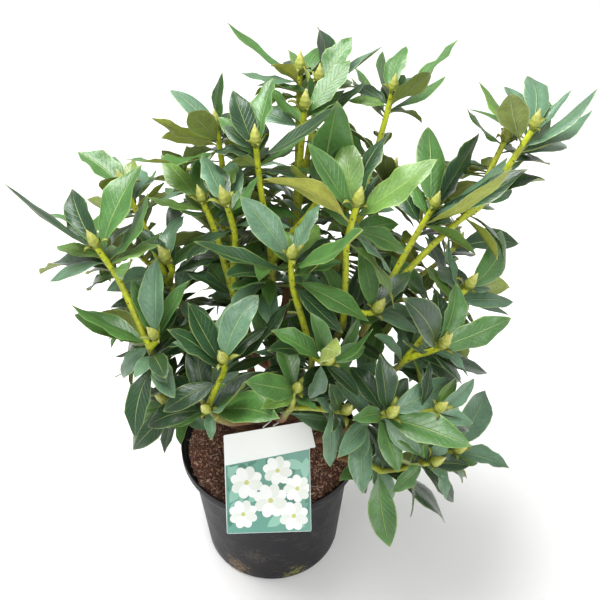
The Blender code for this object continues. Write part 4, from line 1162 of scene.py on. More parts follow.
BARK = bark_material()
SCAR = mottled("leaf_scar", (0.10, 0.075, 0.020), 0.7, 400.0, 0.3)
print("bark ready")

# %% [markdown]
# ## Limbs, carried finer
# The solids of the limbs are plain tubes. Here every limb is a line of points that carry their
# own thickness and age, and one Geometry Nodes tree sweeps a round section along all lines at
# once. It then pushes the surface in and out by a noise that is drawn out along the limb, so
# that old wood gets ridges and cracks, while young stems stay nearly smooth.

# %% Tree: swept limbs
def named(tree, label, kind="FLOAT"):
    """A number or a direction that the points carry."""
    return put(tree, "GeometryNodeInputNamedAttribute", {"Name": label}, data_type=kind).outputs[0]


def evened_curve(tree, given):
    """The given loose lines as curves with even steps."""
    curve = put(tree, "GeometryNodeMeshToCurve", {"Mesh": given["Geometry"]}).outputs[0]
    feeds = {"Curve": curve, "Length": given["Step"]}
    return put(tree, "GeometryNodeResampleCurve", feeds, mode="LENGTH").outputs[0]


def limb_tree():
    """Lines with a thickness and an age become round limbs with relief."""
    tree, given, out = new_tree(
        "swept_limbs", "GeometryNodeTree",
        (("Geometry", "Geometry", None), ("Sides", "Int", 14), ("Step", "Float", 0.003),
         ("Relief", "Float", 0.0012), ("Finish", "Material", None)),
        (("Geometry", "Geometry", None),))
    evened = evened_curve(tree, given)
    ring = put(tree, "GeometryNodeCurvePrimitiveCircle", {
        "Radius": 1.0, "Resolution": given["Sides"]}).outputs["Curve"]
    swept = put(tree, "GeometryNodeCurveToMesh", {
        "Curve": evened, "Profile Curve": ring, "Scale": named(tree, "thickness"),
        "Fill Caps": True}).outputs[0]
    place = put(tree, "GeometryNodeInputPosition").outputs[0]
    stretched = put(tree, "ShaderNodeVectorMath", {0: place, 1: (1.0, 1.0, 0.35)},
                    operation="MULTIPLY").outputs[0]
    ridges = clouds(tree, stretched, 260.0, 4.0, 0.65)
    lumps = clouds(tree, place, 70.0)
    push = minus(tree, plus(tree, ridges, lumps), 1.0)
    amount = times(tree, given["Relief"], plus(tree, named(tree, "age"), 0.25))
    normal = put(tree, "GeometryNodeInputNormal").outputs[0]
    offset = scaled(tree, normal, times(tree, push, amount))
    moved = put(tree, "GeometryNodeSetPosition", {"Geometry": swept, "Offset": offset}).outputs[0]
    smooth = put(tree, "GeometryNodeSetShadeSmooth", {"Geometry": moved}).outputs[0]
    finish_tree(tree, given, out, smooth)
    return tree


def lines_object(name, lines):
    """Lines of (point, thickness, age) as one mesh of loose edges."""
    points, edges, thickness, age = [], [], [], []
    for line in lines:
        first = len(points)
        for point, thick, old in line:
            points.append(point)
            thickness.append(thick)
            age.append(old)
        edges += [(i, i + 1) for i in range(first, len(points) - 1)]
    mesh = bpy.data.meshes.new(name)
    mesh.from_pydata(points, edges, [])
    for label, values in (("thickness", thickness), ("age", age)):
        mesh.attributes.new(label, "FLOAT", "POINT").data.foreach_set("value", values)
    return add_object(name, mesh)


LIMB_TREE = limb_tree()
print("tree ready")

# %% Trunk and boughs
LINE_STEPS = 4
LOW_BOUGH = 0.33
YOUNG_TIP, LOW_TIP_OLDER = 0.12, 0.25


def line_of(points, radii, old_at):
    """A smooth line through a limb's points, with its thickness and age."""
    fine = smooth_route(points, LINE_STEPS)
    last = len(points) - 1
    line = []
    for i, point in enumerate(fine):
        at = min(i / LINE_STEPS, last)
        low = min(int(at), last - 1)
        thick = radii[low] + (radii[low + 1] - radii[low]) * (at - low)
        line.append((point, thick, old_at(at / last)))
    return line


def limb_lines():
    """Trunk and boughs; a bough gets younger from foot to tip."""
    lines = []
    for name, limb in plant.limbs.items():
        if name == "main_stem":
            lines.append(line_of(limb["points"], limb["radii"], lambda share: 1.0))
        else:
            young = YOUNG_TIP + LOW_TIP_OLDER * (limb["points"][-1].z < LOW_BOUGH)
            lines.append(line_of(
                limb["points"], limb["radii"], lambda share: 1.0 - (1.0 - young) * share ** 1.2))
    return lines


old_wood = run_nodes("old_wood", lines_object("limb_lines", limb_lines()), LIMB_TREE,
                     {"Sides": 16, "Step": 0.0025, "Relief": 0.0014, "Finish": BARK})
ride(old_wood, "old_bark", *plant.limbs)

# %% Young stems
LOW_STEM = 0.42
STOUTER = 1.15
STEM_AGES, SHOOT_AGES = (0.30, 0.05), (0.06, 0.0)


def stem_lines():
    """The stem of each mass and its shoots; those low in the crown are thinner and older."""
    lines = []
    for name, twigs in plant.masses.items():
        for index, twig in enumerate(twigs):
            low = twig["points"][-1].z < LOW_STEM
            stouter = 1.0 if low else STOUTER
            points, radii = list(twig["points"]), [stouter * radius for radius in twig["radii"]]
            if index == 0:
                points[0] = points[0] - plant.limbs["bough_" + name]["way"] * 0.003
            first, last = STEM_AGES if index == 0 else SHOOT_AGES
            if low:
                first, last = first + 0.16, last + 0.12
            lines.append(line_of(points, radii, lambda share: first + (last - first) * share))
    return lines


young_stems = run_nodes("young_stems", lines_object("stem_lines", stem_lines()), LIMB_TREE,
                        {"Sides": 10, "Step": 0.004, "Relief": 0.0008, "Finish": BARK})
ride(young_stems, "foliage")

# %% [markdown]
# ### Leaf scars
# Where last year's leaves fell, each young stem keeps a small dark scar. The scars wind up the
# stem by the golden angle, which is how the leaves stood. A second tree walks along the same
# lines and sets one scar at each step, turned a golden angle further each time.

# %% Tree: scars along the stems
def scar_tree():
    """Set a small half-moon on the skin of each line at even steps."""
    tree, given, out = new_tree(
        "leaf_scars", "GeometryNodeTree",
        (("Geometry", "Geometry", None), ("Scar", "Object", None), ("Step", "Float", 0.008),
         ("Turn", "Float", GOLDEN_ANGLE), ("Finish", "Material", None)),
        (("Geometry", "Geometry", None),))
    evened = evened_curve(tree, given)
    thick = named(tree, "thickness")
    tangent = put(tree, "GeometryNodeInputTangent").outputs[0]
    normal = put(tree, "GeometryNodeInputNormal").outputs[0]
    angle = times(tree, put(tree, "GeometryNodeInputIndex").outputs[0], given["Turn"])
    feeds = {"Axis": tangent, "Angle": angle}
    spin = put(tree, "FunctionNodeAxisAngleToRotation", feeds).outputs[0]
    outward = put(tree, "FunctionNodeRotateVector", {"Vector": normal, "Rotation": spin}).outputs[0]
    facing = put(tree, "FunctionNodeAxesToRotation", {0: outward, 1: tangent},
                 primary_axis="Z", secondary_axis="Y").outputs[0]
    shift = scaled(tree, outward, times(tree, thick, 0.98))
    # the fields are read on the curve, before it becomes points
    kept = put(tree, "GeometryNodeCaptureAttribute", {"Geometry": evened}, domain="POINT")
    for kind, label, field in (("VECTOR", "Shift", shift), ("ROTATION", "Facing", facing)):
        kept.capture_items.new(kind, label)
        tree.links.new(field, kept.inputs[label])
    points = put(tree, "GeometryNodeCurveToPoints", {"Curve": kept.outputs["Geometry"]},
                 mode="EVALUATED")
    moved = put(tree, "GeometryNodeSetPosition", {
        "Geometry": points.outputs["Points"], "Offset": kept.outputs["Shift"]}).outputs[0]
    set_down = put(tree, "GeometryNodeInstanceOnPoints", {
        "Points": moved, "Instance": shape_of(tree, given["Scar"]),
        "Rotation": kept.outputs["Facing"]}).outputs[0]
    finish_tree(tree, given, out, set_down)
    return tree


def scar_template():
    """A half-moon nearly 3 mm wide that stands about 0.4 mm proud."""
    work = bmesh.new()
    bmesh.ops.create_icosphere(work, subdivisions=1, radius=1)
    for vert in work.verts:
        x, y, z = vert.co
        vert.co = (x * 0.0014, (y + 0.6 * x * x) * 0.0008, z * 0.0004)
    return object_from(work, "scar")


scar = scar_template()
scars = run_nodes("leaf_scars", lines_object("scar_lines", stem_lines()), scar_tree(),
                  {"Scar": scar, "Step": 0.0075, "Finish": SCAR})
bpy.data.objects.remove(scar, do_unlink=True)
ride(scars, "foliage")

# %% [markdown]
# ## Leaves
# The rule has placed the leaves of the solids. Between them the real crown has more: smaller and
# older ones lower on each shoot, which fill the inside. They are dealt out by the same rule, with
# the same tests, so the gaps through which the ground, the stems and the compost show stay open.

# %% Leaves that grow on from the rule's
EXTRA_PER_SHOOT = 13
EXTRA_LENGTH, EXTRA_GROWTH = 0.040, 0.0040
TOO_FAR_FORWARD = 0.2


def grow_on():
    """Smaller and lower leaves on every shoot, and a few on the stem of each mass."""
    added = 0
    chance = random.Random(SEED)
    for name, twigs in plant.masses.items():
        for twig in twigs:
            turn = chance.uniform(0, math.tau)
            for index in range(EXTRA_PER_SHOOT):
                rank = index * 0.9 + chance.uniform(0, 1.5)
                length = (EXTRA_LENGTH + EXTRA_GROWTH * rank) * chance.uniform(0.85, 1.30)
                for attempt in range(7):
                    azimuth = turn + GOLDEN_ANGLE * index + attempt * 0.9
                    leaf = aimed_leaf(twig, rank, azimuth, length, chance, chance.uniform(-12, 12))
                    forward = leaf["way"].dot(TOWARDS_EYE) > TOO_FAR_FORWARD
                    if in_a_gap(leaf) or twig["seen"] and forward:
                        continue
                    if try_leaf(name, leaf):
                        added += 1
                        break
    return added


print(grow_on(), "more leaves")

# %% [markdown]
# ### One leaf blade
# A coarse leaf is a bent diamond. The fine one has its real outline: a stalk, a wedge-shaped
# foot, the widest part just past the middle and a short point. It is a thin closed skin on a
# grid of rows along the spine and columns across it. Its halves rise a little from the rib, its
# edges curl down and ripple, and it twists slightly. One that points at the viewer, or bends
# up to show its underside, is rolled closer, so it is drawn narrower. The upper skin and the
# underside take different finishes.

# %% The blade's grid
OUTLINE = (
    (0.00, 0.075), (0.07, 0.065), (0.115, 0.12), (0.17, 0.33), (0.26, 0.62), (0.38, 0.88),
    (0.50, 1.00), (0.60, 0.98), (0.70, 0.87), (0.79, 0.69), (0.87, 0.47), (0.935, 0.25),
    (0.975, 0.10), (1.0, 0.0))
COLUMNS = (-1.0, -0.72, -0.38, 0.0, 0.38, 0.72, 1.0)
BLADE_THICKNESS = 0.0006
RIB_DEPTH = 0.0009
ROLLED = 0.66  # width of a leaf that points at the viewer, as a share of a flat one's
TURNED_UP = 0.8  # and of one that bends up


def shown_share(leaf):
    """How much of a leaf's length shows from in front."""
    across = seen_at(leaf_spine(leaf, 1.0)[0]) - seen_at(leaf["root"])
    return min(1.0, across.length / leaf["length"])


def blade_grid(leaf, chance):
    """Points of the upper skin and of the underside, row by row."""
    half_width = leaf["width"] / 2 * (ROLLED + (1 - ROLLED) * shown_share(leaf))
    half_width *= TURNED_UP if leaf["bend"] < 0 else 1.0
    fold = chance.uniform(0.10, 0.62)
    curl = chance.uniform(0.05, 0.34)
    ripple = chance.uniform(0.04, 0.27)
    waves = chance.uniform(1.5, 3.4)
    phase = chance.uniform(0, math.tau)
    twist = math.radians(chance.uniform(-18, 18)) * (0.4 if leaf["bend"] < 0 else 1.0)
    sway = chance.uniform(-0.05, 0.05) * leaf["length"]
    blunt = chance.uniform(0.80, 1.12)
    upper, lower = [], []
    for share, fullness in OUTLINE:
        point, along, face = leaf_spine(leaf, share)
        turn = Matrix.Rotation(twist * share, 3, along)
        face = turn @ face
        side = face.cross(along)
        point = point + side * (sway * math.sin(math.pi * share))
        half = half_width * fullness ** blunt
        for across in COLUMNS:
            off = abs(across)
            wave = math.sin(phase + waves * math.tau * share + (1.2 if across > 0 else 0.0))
            lift = half * (fold * off - curl * off ** 3 + ripple * wave * off * off)
            skin = point + side * (half * across) + face * lift
            upper.append(skin)
            if off < 1:
                rib = RIB_DEPTH * (1 - share) if across == 0 else 0.0
                lower.append(skin - face * (BLADE_THICKNESS + rib))
    return upper, lower


def blade_faces():
    """The grid's faces: (corners, material, place across and along for each corner)."""
    rows, columns = len(OUTLINE), len(COLUMNS)
    inner = columns - 2
    low_first = rows * columns
    def top(row, column):
        return row * columns + column
    def under(row, column):
        if column in (0, columns - 1):
            return top(row, column)
        return low_first + row * inner + column - 1
    faces = []
    for row in range(rows - 1):
        for column in range(columns - 1):
            spots = ((row, column), (row, column + 1), (row + 1, column + 1), (row + 1, column))
            marks = [((COLUMNS[c] + 1) / 2, OUTLINE[r][0]) for r, c in spots]
            faces.append(([top(*s) for s in spots], 0, marks))
            back = (0, 3, 2, 1)  # so that both skins split along the same diagonal
            faces.append(([under(*spots[i]) for i in back], 1, [marks[i] for i in back]))
    return faces


BLADE_FACES = blade_faces()
print(len(BLADE_FACES), "faces a leaf")

# %% Join the leaves, one piece for each green
def leaf_piece(name, chosen, upper, under):
    """Many leaves as one mesh with an upper and a lower finish."""
    points, corners, finishes, marks = [], [], [], []
    for leaf, seed in chosen:
        first = len(points)
        top, low = blade_grid(leaf, random.Random(seed))
        points += top + low
        for face, finish, places in BLADE_FACES:
            corners.append([first + k for k in face])
            finishes.append(finish)
            marks += [value for place in places for value in place]
    mesh = new_mesh(name, points, corners, smooth=True)
    mesh.materials.append(upper)
    mesh.materials.append(under)
    mesh.polygons.foreach_set("material_index", finishes)
    mesh.uv_layers.new(name="blade").data.foreach_set("uv", marks)
    sharpen_rims(mesh, len(points) // max(len(chosen), 1))
    piece = add_object(name, mesh)
    print(name, len(chosen), "leaves")
    return piece


def sharpen_rims(mesh, points_per_leaf):
    """The edge where upper skin and underside meet is sharp."""
    columns = len(COLUMNS)
    top_count = len(OUTLINE) * columns
    ends = [0] * (len(mesh.edges) * 2)
    mesh.edges.foreach_get("vertices", ends)
    def on_rim(index):
        place = index % points_per_leaf
        return place < top_count and place % columns in (0, columns - 1)
    sharp = [on_rim(a) and on_rim(b) for a, b in zip(ends[::2], ends[1::2])]
    mesh.attributes.new("sharp_edge", "BOOLEAN", "EDGE").data.foreach_set("value", sharp)


SMALL_LEAF = 0.058
LOW_LEAF = 0.45
# how many leaves of each kind are deep, mid, grey, fresh and young green; the low kind leans to
# deep green as painted shade under the crown and to bluish grey green as a painted sky reflection
SHARES = {"large": (2.6, 6, 3.2, 2.2, 0), "small": (4, 4, 1, 3, 0.3), "low": (6, 3, 4, 0.5, 0)}
# deep and grey leaves take the dull underside, so low in the crown, where most leaves are deep or
# grey, the undersides carry a painted shade
UNDER_OF = {"young": "pale", "fresh": "pale", "mid": "olive"}


def deal_greens():
    """Choose a green for every leaf from its length, its height and a seeded draw; low in the crown
    the draw leans to painted shade and a painted sky reflection.
    """
    dealt = {name: [] for name in UPPER}
    chance = random.Random(SEED + 1)
    for group in leaves.values():
        for leaf in group:
            shares = SHARES["small" if leaf["length"] < SMALL_LEAF else "large"]
            if leaf["root"].z < LOW_LEAF:
                shares = SHARES["low"]
            green = chance.choices(list(UPPER), shares)[0]
            dealt[green].append((leaf, chance.randrange(10 ** 6)))
    return dealt


for green, chosen in deal_greens().items():
    piece = leaf_piece("leaves_" + green, chosen, UPPER[green], UNDER[UNDER_OF.get(green, "dull")])
    masses = ["foliage_" + name for name in plant.masses] if green == "mid" else []
    ride(piece, "foliage", *masses)

# %% [markdown]
# ## Buds
# Each shoot ends in a slender pointed bud that holds next spring's flowers. Its scales overlap
# like tiles, and a few narrow curled leaflets stand round its foot. One bud is modelled with its
# scales as real relief: round it and up it, a lattice of scale tips swells the skin just before
# it steps back. A Geometry Nodes tree then sets it on every shoot, turned and scaled a little
# differently each time. Its points carry how far up they are, which gives the brown foot, the
# yellow-green middle and the creamy tip. The same number drops where the skin steps back behind
# a scale tip, which paints shade into that crease.

# %% One bud
BUD_SIDES = 16
BUD_ROWS = 18
SCALE_ROWS = 5.0
SCALES_ROUND = 4
BUD_FULLNESS = 0.225
BUD_OUTLINE = (
    (0.0, 0.50), (0.10, 0.80), (0.22, 0.97), (0.34, 1.0), (0.48, 0.90), (0.62, 0.70),
    (0.75, 0.47), (0.86, 0.27), (0.94, 0.14), (1.0, 0.03))
LEAFLETS = ((0.3, 0.62), (2.4, 0.80), (4.4, 0.52))
LEAFLET_PATH = (
    (0.10, -0.10), (0.24, 0.05), (0.38, 0.26), (0.55, 0.42), (0.74, 0.46), (0.90, 0.38))
LEAFLET_HALF = (0.05, 0.08, 0.11, 0.10, 0.07, 0.01)
LEAFLET_THICKNESS = 0.03


def bud_radius(share):
    """A bud's outline: round at the foot, fattest below the middle, drawn out to a point."""
    for (low, first), (high, last) in zip(BUD_OUTLINE, BUD_OUTLINE[1:]):
        if share <= high:
            return first + (last - first) * (share - low) / (high - low)
    return BUD_OUTLINE[-1][1]


def bud_scales():
    """The bud's own skin, 1 unit tall on the origin."""
    points, faces, heights = [], [], []
    for row in range(BUD_ROWS):
        share = row / (BUD_ROWS - 1)
        tier = share * SCALE_ROWS
        for angle in turns(BUD_SIDES):
            place = angle / math.tau * SCALES_ROUND + 0.5 * (int(tier) % 2)
            off = abs(place - round(place)) * 2
            ripe = (tier + 0.35 * off) % 1.0
            radius = BUD_FULLNESS * bud_radius(share) * (0.93 + 0.20 * ripe)
            points.append(polar(radius, angle, share))
            # the colour number drops where a scale starts behind the proud tip of the one below:
            # painted shade in that crease, lighter towards each proud tip
            heights.append(0.25 + 0.75 * share - 0.22 * (1 - ripe))
    for row in range(BUD_ROWS - 1):
        for side in range(BUD_SIDES):
            a, b = row * BUD_SIDES + side, row * BUD_SIDES + (side + 1) % BUD_SIDES
            faces.append((a, b, b + BUD_SIDES, a + BUD_SIDES))
    faces.append(tuple(range(BUD_SIDES))[::-1])
    faces.append(tuple(len(points) - BUD_SIDES + side for side in range(BUD_SIDES)))
    return points, faces, heights


def leaflet(angle, reach):
    """A narrow curled leaflet at the bud's foot: a closed strip of four-sided rings."""
    rings = []
    way = Vector(polar(1, angle, 0))
    side = Vector((-math.sin(angle), math.cos(angle), 0))
    for (out, height), half in zip(LEAFLET_PATH, LEAFLET_HALF):
        middle = way * (out * reach) + Vector((0, 0, height * reach))
        thick = Vector((0, 0, LEAFLET_THICKNESS))
        left, right = middle - side * half + thick * 2, middle + side * half + thick * 2
        rings.append([right, middle - thick, left, middle + thick])
    return loft(rings)


def bud_template():
    """A bud and its leaflets as one mesh whose points carry how far up they are, with painted shade
    where each scale steps back.
    """
    points, faces, heights = bud_scales()
    for angle, reach in LEAFLETS:
        skin, sides = leaflet(angle, reach)
        faces += [tuple(len(points) + k for k in side) for side in sides]
        points += skin
        heights += [0.12 + 0.3 * point.z for point in skin]
    mesh = new_mesh("bud", points, faces)
    face_outwards(mesh)
    mesh.attributes.new("height", "FLOAT", "POINT").data.foreach_set("value", heights)
    return add_object("bud", mesh)


def bud_material():
    """Brown-green at the foot, yellow-green above and creamy at the tip, darker in the painted shade
    behind each scale tip.
    """
    made, tree, shader = new_material("bud_scales", 0.42, specular=0.5, coat=0.10)
    height = put(tree, "ShaderNodeAttribute", attribute_name="height").outputs["Fac"]
    ramp = put(tree, "ShaderNodeValToRGB", {"Fac": height})
    stops = ((0.0, (0.14, 0.11, 0.025)), (0.28, (0.23, 0.27, 0.035)), (0.62, (0.40, 0.42, 0.075)),
             (1.0, (0.62, 0.58, 0.22)))
    set_stops(ramp, stops)
    group = group_node(tree, MOTTLING, {
        "Color": ramp.outputs["Color"], "Scale": 160.0, "Amount": 0.35})
    wear(tree, shader, group, 0.0003)
    return made


print("bud outline ready")

# %% Tree: buds on the shoots
def seat_tree():
    """Set a template on points that carry an axis and a size."""
    tree, given, out = new_tree(
        "seated_buds", "GeometryNodeTree",
        (("Geometry", "Geometry", None), ("Bud", "Object", None), ("Seed", "Int", SEED),
         ("Finish", "Material", None)),
        (("Geometry", "Geometry", None),))
    axis, size = named(tree, "axis", "FLOAT_VECTOR"), named(tree, "size")
    facing = put(tree, "FunctionNodeAlignRotationToVector", {"Vector": axis}, axis="Z").outputs[0]
    spin = put(tree, "FunctionNodeRandomValue", {"Seed": given["Seed"]}, data_type="FLOAT")
    spin.inputs[2].default_value, spin.inputs[3].default_value = 0.0, math.tau
    turned = put(tree, "FunctionNodeAxisAngleToRotation", {
        "Axis": (0.0, 0.0, 1.0), "Angle": spin.outputs[1]}).outputs[0]
    both = put(tree, "FunctionNodeRotateRotation", {"Rotation": facing, "Rotate By": turned},
               rotation_space="LOCAL").outputs[0]
    seated = put(tree, "GeometryNodeInstanceOnPoints", {
        "Points": given["Geometry"], "Instance": shape_of(tree, given["Bud"]),
        "Rotation": both, "Scale": size}).outputs[0]
    real = put(tree, "GeometryNodeRealizeInstances", {"Geometry": seated}).outputs[0]
    smooth = put(tree, "GeometryNodeSetShadeSmooth", {"Geometry": real}).outputs[0]
    feeds = {"Geometry": smooth, "Material": given["Finish"]}
    last = put(tree, "GeometryNodeSetMaterial", feeds)
    tree.links.new(last.outputs[0], out[0])
    return tree


def seats(name, places):
    """Points that carry an axis and a size."""
    mesh = new_mesh(name, [place for place, axis, size in places], [])
    axes = mesh.attributes.new("axis", "FLOAT_VECTOR", "POINT")
    axes.data.foreach_set("vector", [value for place, axis, size in places for value in axis])
    sizes = mesh.attributes.new("size", "FLOAT", "POINT")
    sizes.data.foreach_set("value", [size for place, axis, size in places])
    return add_object(name, mesh)


def bud_places():
    """Where each bud stands, from the rule."""
    chance = random.Random(SEED + 2)
    places = []
    for twigs in plant.masses.values():
        for twig in twigs:
            if twig["bud"]:
                foot = twig["points"][-1] - twig["way"] * 0.002
                upright = (twig["way"] + UP * 0.6).normalized()
                places.append((foot, upright, BUD_LENGTH * chance.uniform(0.92, 1.10)))
    return places


bud = bud_template()
buds = run_nodes("buds", seats("bud_seats", bud_places()), seat_tree(),
                 {"Bud": bud, "Finish": bud_material()})
bpy.data.objects.remove(bud, do_unlink=True)
ride(buds, "foliage")

# %% [markdown]
# ## The pot
# A nursery pot is drawn from one thin sheet of black plastic: a flat floor with drain notches
# round its edge, a straight taper, a shoulder that flares out and a standing lip. It is a turned
# shape, so its profile is swept round the axis in fine steps, with faint upright draw marks in
# the wall, and the notches are cut afterwards.

# %% Pot profile
POT_STEPS = 128
DRAW_DEPTH = 0.00012
DRAWN_FROM, DRAWN_TO = 0.02, 0.15


def inner_radius(height):
    """The wall's inner face."""
    if height > SHOULDER_HEIGHT:
        share = (height - SHOULDER_HEIGHT) / (POT_HEIGHT - SHOULDER_HEIGHT)
        return SHOULDER_RADIUS + (RIM_RADIUS - LIP_STEP - SHOULDER_RADIUS) * share ** 0.8 - WALL
    return BASE_RADIUS + (SHOULDER_RADIUS - BASE_RADIUS) * height / SHOULDER_HEIGHT - WALL


def quarter(centre, radius, start, end, count):
    """Points (radius, height) on an arc, with angles in degrees."""
    angles = [math.radians(start + (end - start) * i / count) for i in range(count + 1)]
    return [(centre[0] + radius * math.cos(a), centre[1] + radius * math.sin(a)) for a in angles]


def pot_profile():
    """From the middle of the inside, over the lip and down to the middle of the underside."""
    lip_foot = POT_HEIGHT - LIP_DEPTH
    shoulder = [SHOULDER_HEIGHT + (lip_foot - SHOULDER_HEIGHT) * i / 5 for i in range(6)]
    wall = [BASE_CORNER + (SHOULDER_HEIGHT - BASE_CORNER) * i / 12 for i in range(12)]
    corner = (BASE_RADIUS - BASE_CORNER, BASE_CORNER)
    inside = [(0.0, WALL), (0.04, WALL)] + quarter(corner, BASE_CORNER - WALL, -90, 0, 5)[:-1]
    inside += [(inner_radius(z), z) for z in wall + shoulder[:-1]]
    crest = POT_HEIGHT - 0.0009
    lip_in, lip_out = RIM_RADIUS - WALL, RIM_RADIUS
    over = [(RIM_RADIUS - LIP_STEP, lip_foot), (lip_in, lip_foot + 0.003), (lip_in, crest - 0.0006)]
    over += quarter(((lip_in + lip_out) / 2, crest), WALL / 2, 180, 0, 6)
    over += [(lip_out, lip_foot + 0.0014)]
    over += quarter((lip_out - 0.0010, lip_foot + 0.0010), 0.0010, 0, -90, 3)
    outside = [(inner_radius(z) + WALL, z) for z in reversed(wall + shoulder[:-1])]
    outside += quarter(corner, BASE_CORNER, 0, -90, 6)[1:]
    foot = [(0.070, 0.0), (0.066, 0.0008), (0.02, 0.0008), (0.0, 0.0008)]
    return inside + over + outside + foot


print(len(pot_profile()), "points in the profile")

# %% Turn the pot and cut its drains
def turned_mesh(name, profile, steps, draw):
    """Sweep a closed profile round Z; draw gives the wall faint upright waves."""
    points, faces = [], []
    for radius, height in profile[1:-1]:
        on_wall = DRAWN_FROM < height < DRAWN_TO
        for angle in turns(steps):
            wave = draw * (math.sin(angle * 9 + 1.0) + 0.6 * math.sin(angle * 23)) if on_wall else 0
            points.append(polar(radius + wave, angle, height))
    rings = len(profile) - 2
    for ring in range(rings - 1):
        for step in range(steps):
            a, b = ring * steps + step, ring * steps + (step + 1) % steps
            faces.append((a, b, b + steps, a + steps))
    points += [(0, 0, profile[0][1]), (0, 0, profile[-1][1])]
    for step in range(steps):
        after = (step + 1) % steps
        faces.append((len(points) - 2, after, step))
        faces.append((len(points) - 1, (rings - 1) * steps + step, (rings - 1) * steps + after))
    mesh = new_mesh(name, points, faces, smooth=True)
    face_outwards(mesh)
    return mesh


def drain_cutter():
    """Eight small boxes through the foot's edge, as one mesh."""
    work = bmesh.new()
    for index in range(DRAIN_COUNT):
        angle = math.tau * (index + 0.5) / DRAIN_COUNT
        place = Vector(polar(DRAIN_RING, angle, DRAIN_LIFT + DRAIN_HEIGHT / 2))
        size = Matrix.Diagonal((DRAIN_LENGTH, DRAIN_WIDTH, DRAIN_HEIGHT, 1))
        turn = Matrix.Translation(place) @ Matrix.Rotation(angle, 4, "Z")
        bmesh.ops.create_cube(work, size=1, matrix=turn @ size)
    return object_from(work, "drains")


def cut_out(thing, cutter):
    """Cut one object out of another for good."""
    step = thing.modifiers.new("cut", "BOOLEAN")
    step.operation = "DIFFERENCE"
    step.object = cutter
    bpy.context.view_layer.update()
    ready = thing.evaluated_get(bpy.context.evaluated_depsgraph_get())
    mesh = bpy.data.meshes.new_from_object(ready)
    thing.modifiers.clear()
    thing.data = mesh
    bpy.data.objects.remove(cutter, do_unlink=True)


pot_mesh = turned_mesh("nursery_pot", pot_profile(), POT_STEPS, DRAW_DEPTH)
nursery_pot = add_object("nursery_pot", pot_mesh)
cut_out(nursery_pot, drain_cutter())
nursery_pot.data.set_sharp_from_angle(angle=math.radians(38))
print("pot", len(nursery_pot.data.polygons), "faces")

# %% [markdown]
# ### Pot finish
# The plastic is charcoal with a faint purple cast and a low gloss. Handling has left pale scuffs
# and fine scratches, and splashes of soil have dried low on the wall, brown on the left and
# greenish on the right.

# %% Pot material
def scuff_group():
    """Where a plastic wall is scuffed: fine slanting scratches inside a few broad patches."""
    tree, given, out = new_tree(
        "scuffs", "ShaderNodeTree", (("Amount", "Float", 0.5),), (("Mask", "Float", None),))
    place = put(tree, "ShaderNodeTexCoord").outputs["Object"]
    leaned = put(tree, "ShaderNodeMapping", {
        "Vector": place, "Rotation": (0.25, 0.5, 0.2), "Scale": (60, 60, 900)}).outputs[0]
    thin = ranged(tree, clouds(tree, leaned, 1.0), 0.60, 0.72, 0.0, 1.0)
    broad = ranged(tree, clouds(tree, place, 26.0), 0.50, 0.64, 0.0, 1.0)
    both = times(tree, times(tree, thin, broad), given["Amount"])
    tree.links.new(both, out["Mask"])
    return tree


SCUFFS = scuff_group()
CHARCOAL = (0.0115, 0.0105, 0.0125)
SCUFF_GREY = (0.22, 0.21, 0.20)
# where each splash is centred, how far it reaches, its colour and how dense it gets
STAINS = (
    ((-0.045, -0.075, 0.018), 0.030, (0.30, 0.20, 0.10), 0.60),
    ((0.030, -0.085, 0.012), 0.026, (0.27, 0.26, 0.06), 0.60),
    ((-0.020, -0.090, 0.060), 0.030, (0.20, 0.16, 0.12), 0.18))


def pot_material():
    """Charcoal plastic with scuffs, dust and dried splashes."""
    made, tree, shader = new_material("pot_plastic", 0.46, specular=0.16)
    place = put(tree, "ShaderNodeTexCoord").outputs["Object"]
    base = group_node(tree, MOTTLING, {"Color": (*CHARCOAL, 1), "Scale": 38.0, "Amount": 0.22})
    colour = base.outputs["Color"]
    scuff = group_node(tree, SCUFFS, {"Amount": 0.55}).outputs["Mask"]
    colour = blend(tree, scuff, colour, (*SCUFF_GREY, 1))
    speckle = clouds(tree, place, 190.0, 5.0, 0.7)
    for centre, reach, tint, most in STAINS:
        gap = put(tree, "ShaderNodeVectorMath", {0: place, 1: centre},
                  operation="DISTANCE").outputs["Value"]
        near = ranged(tree, gap, 0.0, reach, 1.0, 0.0)
        thicker = plus(tree, speckle, times(tree, near, 0.22))
        grain = ranged(tree, thicker, 0.60, 0.72, 0.0, most)
        mask = times(tree, grain, calc(tree, "MINIMUM", times(tree, near, 2.5), 1.0))
        colour = blend(tree, mask, colour, (*tint, 1))
    tree.links.new(colour, shader.inputs["Base Color"])
    rough = ranged(tree, base.outputs["Height"], 0.3, 0.7, 0.38, 0.56)
    tree.links.new(rough, shader.inputs["Roughness"])
    bump(tree, shader, base.outputs["Height"], 0.0003)
    return made


nursery_pot.data.materials.clear()
nursery_pot.data.materials.append(pot_material())
ride(nursery_pot, "pot_plastic", "pot")

# %% [markdown]
# ## Compost
# The pot is filled to about a centimetre under its rim with dark red-brown compost. Seen close,
# it is crumbs, flat chips of bark and tan fibres. A bed with a lumpy top fills the pot, and a
# Geometry Nodes tree scatters each of the three over it, each turned and sized at random from a
# fixed seed, so that the result is the same in every run.

# %% Compost bed
BED_RINGS = 44
BED_STEPS = 150
BED_AIR = 0.0006


def soil_height(x, y):
    """The lumpy top of the compost, a little lower at the wall."""
    out = math.hypot(x, y) / (RIM_RADIUS - WALL)
    coarse = noise.noise(Vector((x * 55, y * 55, 1.7)))
    fine = noise.noise(Vector((x * 210, y * 210, 4.1)))
    return SOIL_LEVEL - 0.0012 - SOIL_SAG * out * out + 0.0013 * coarse + 0.0008 * fine


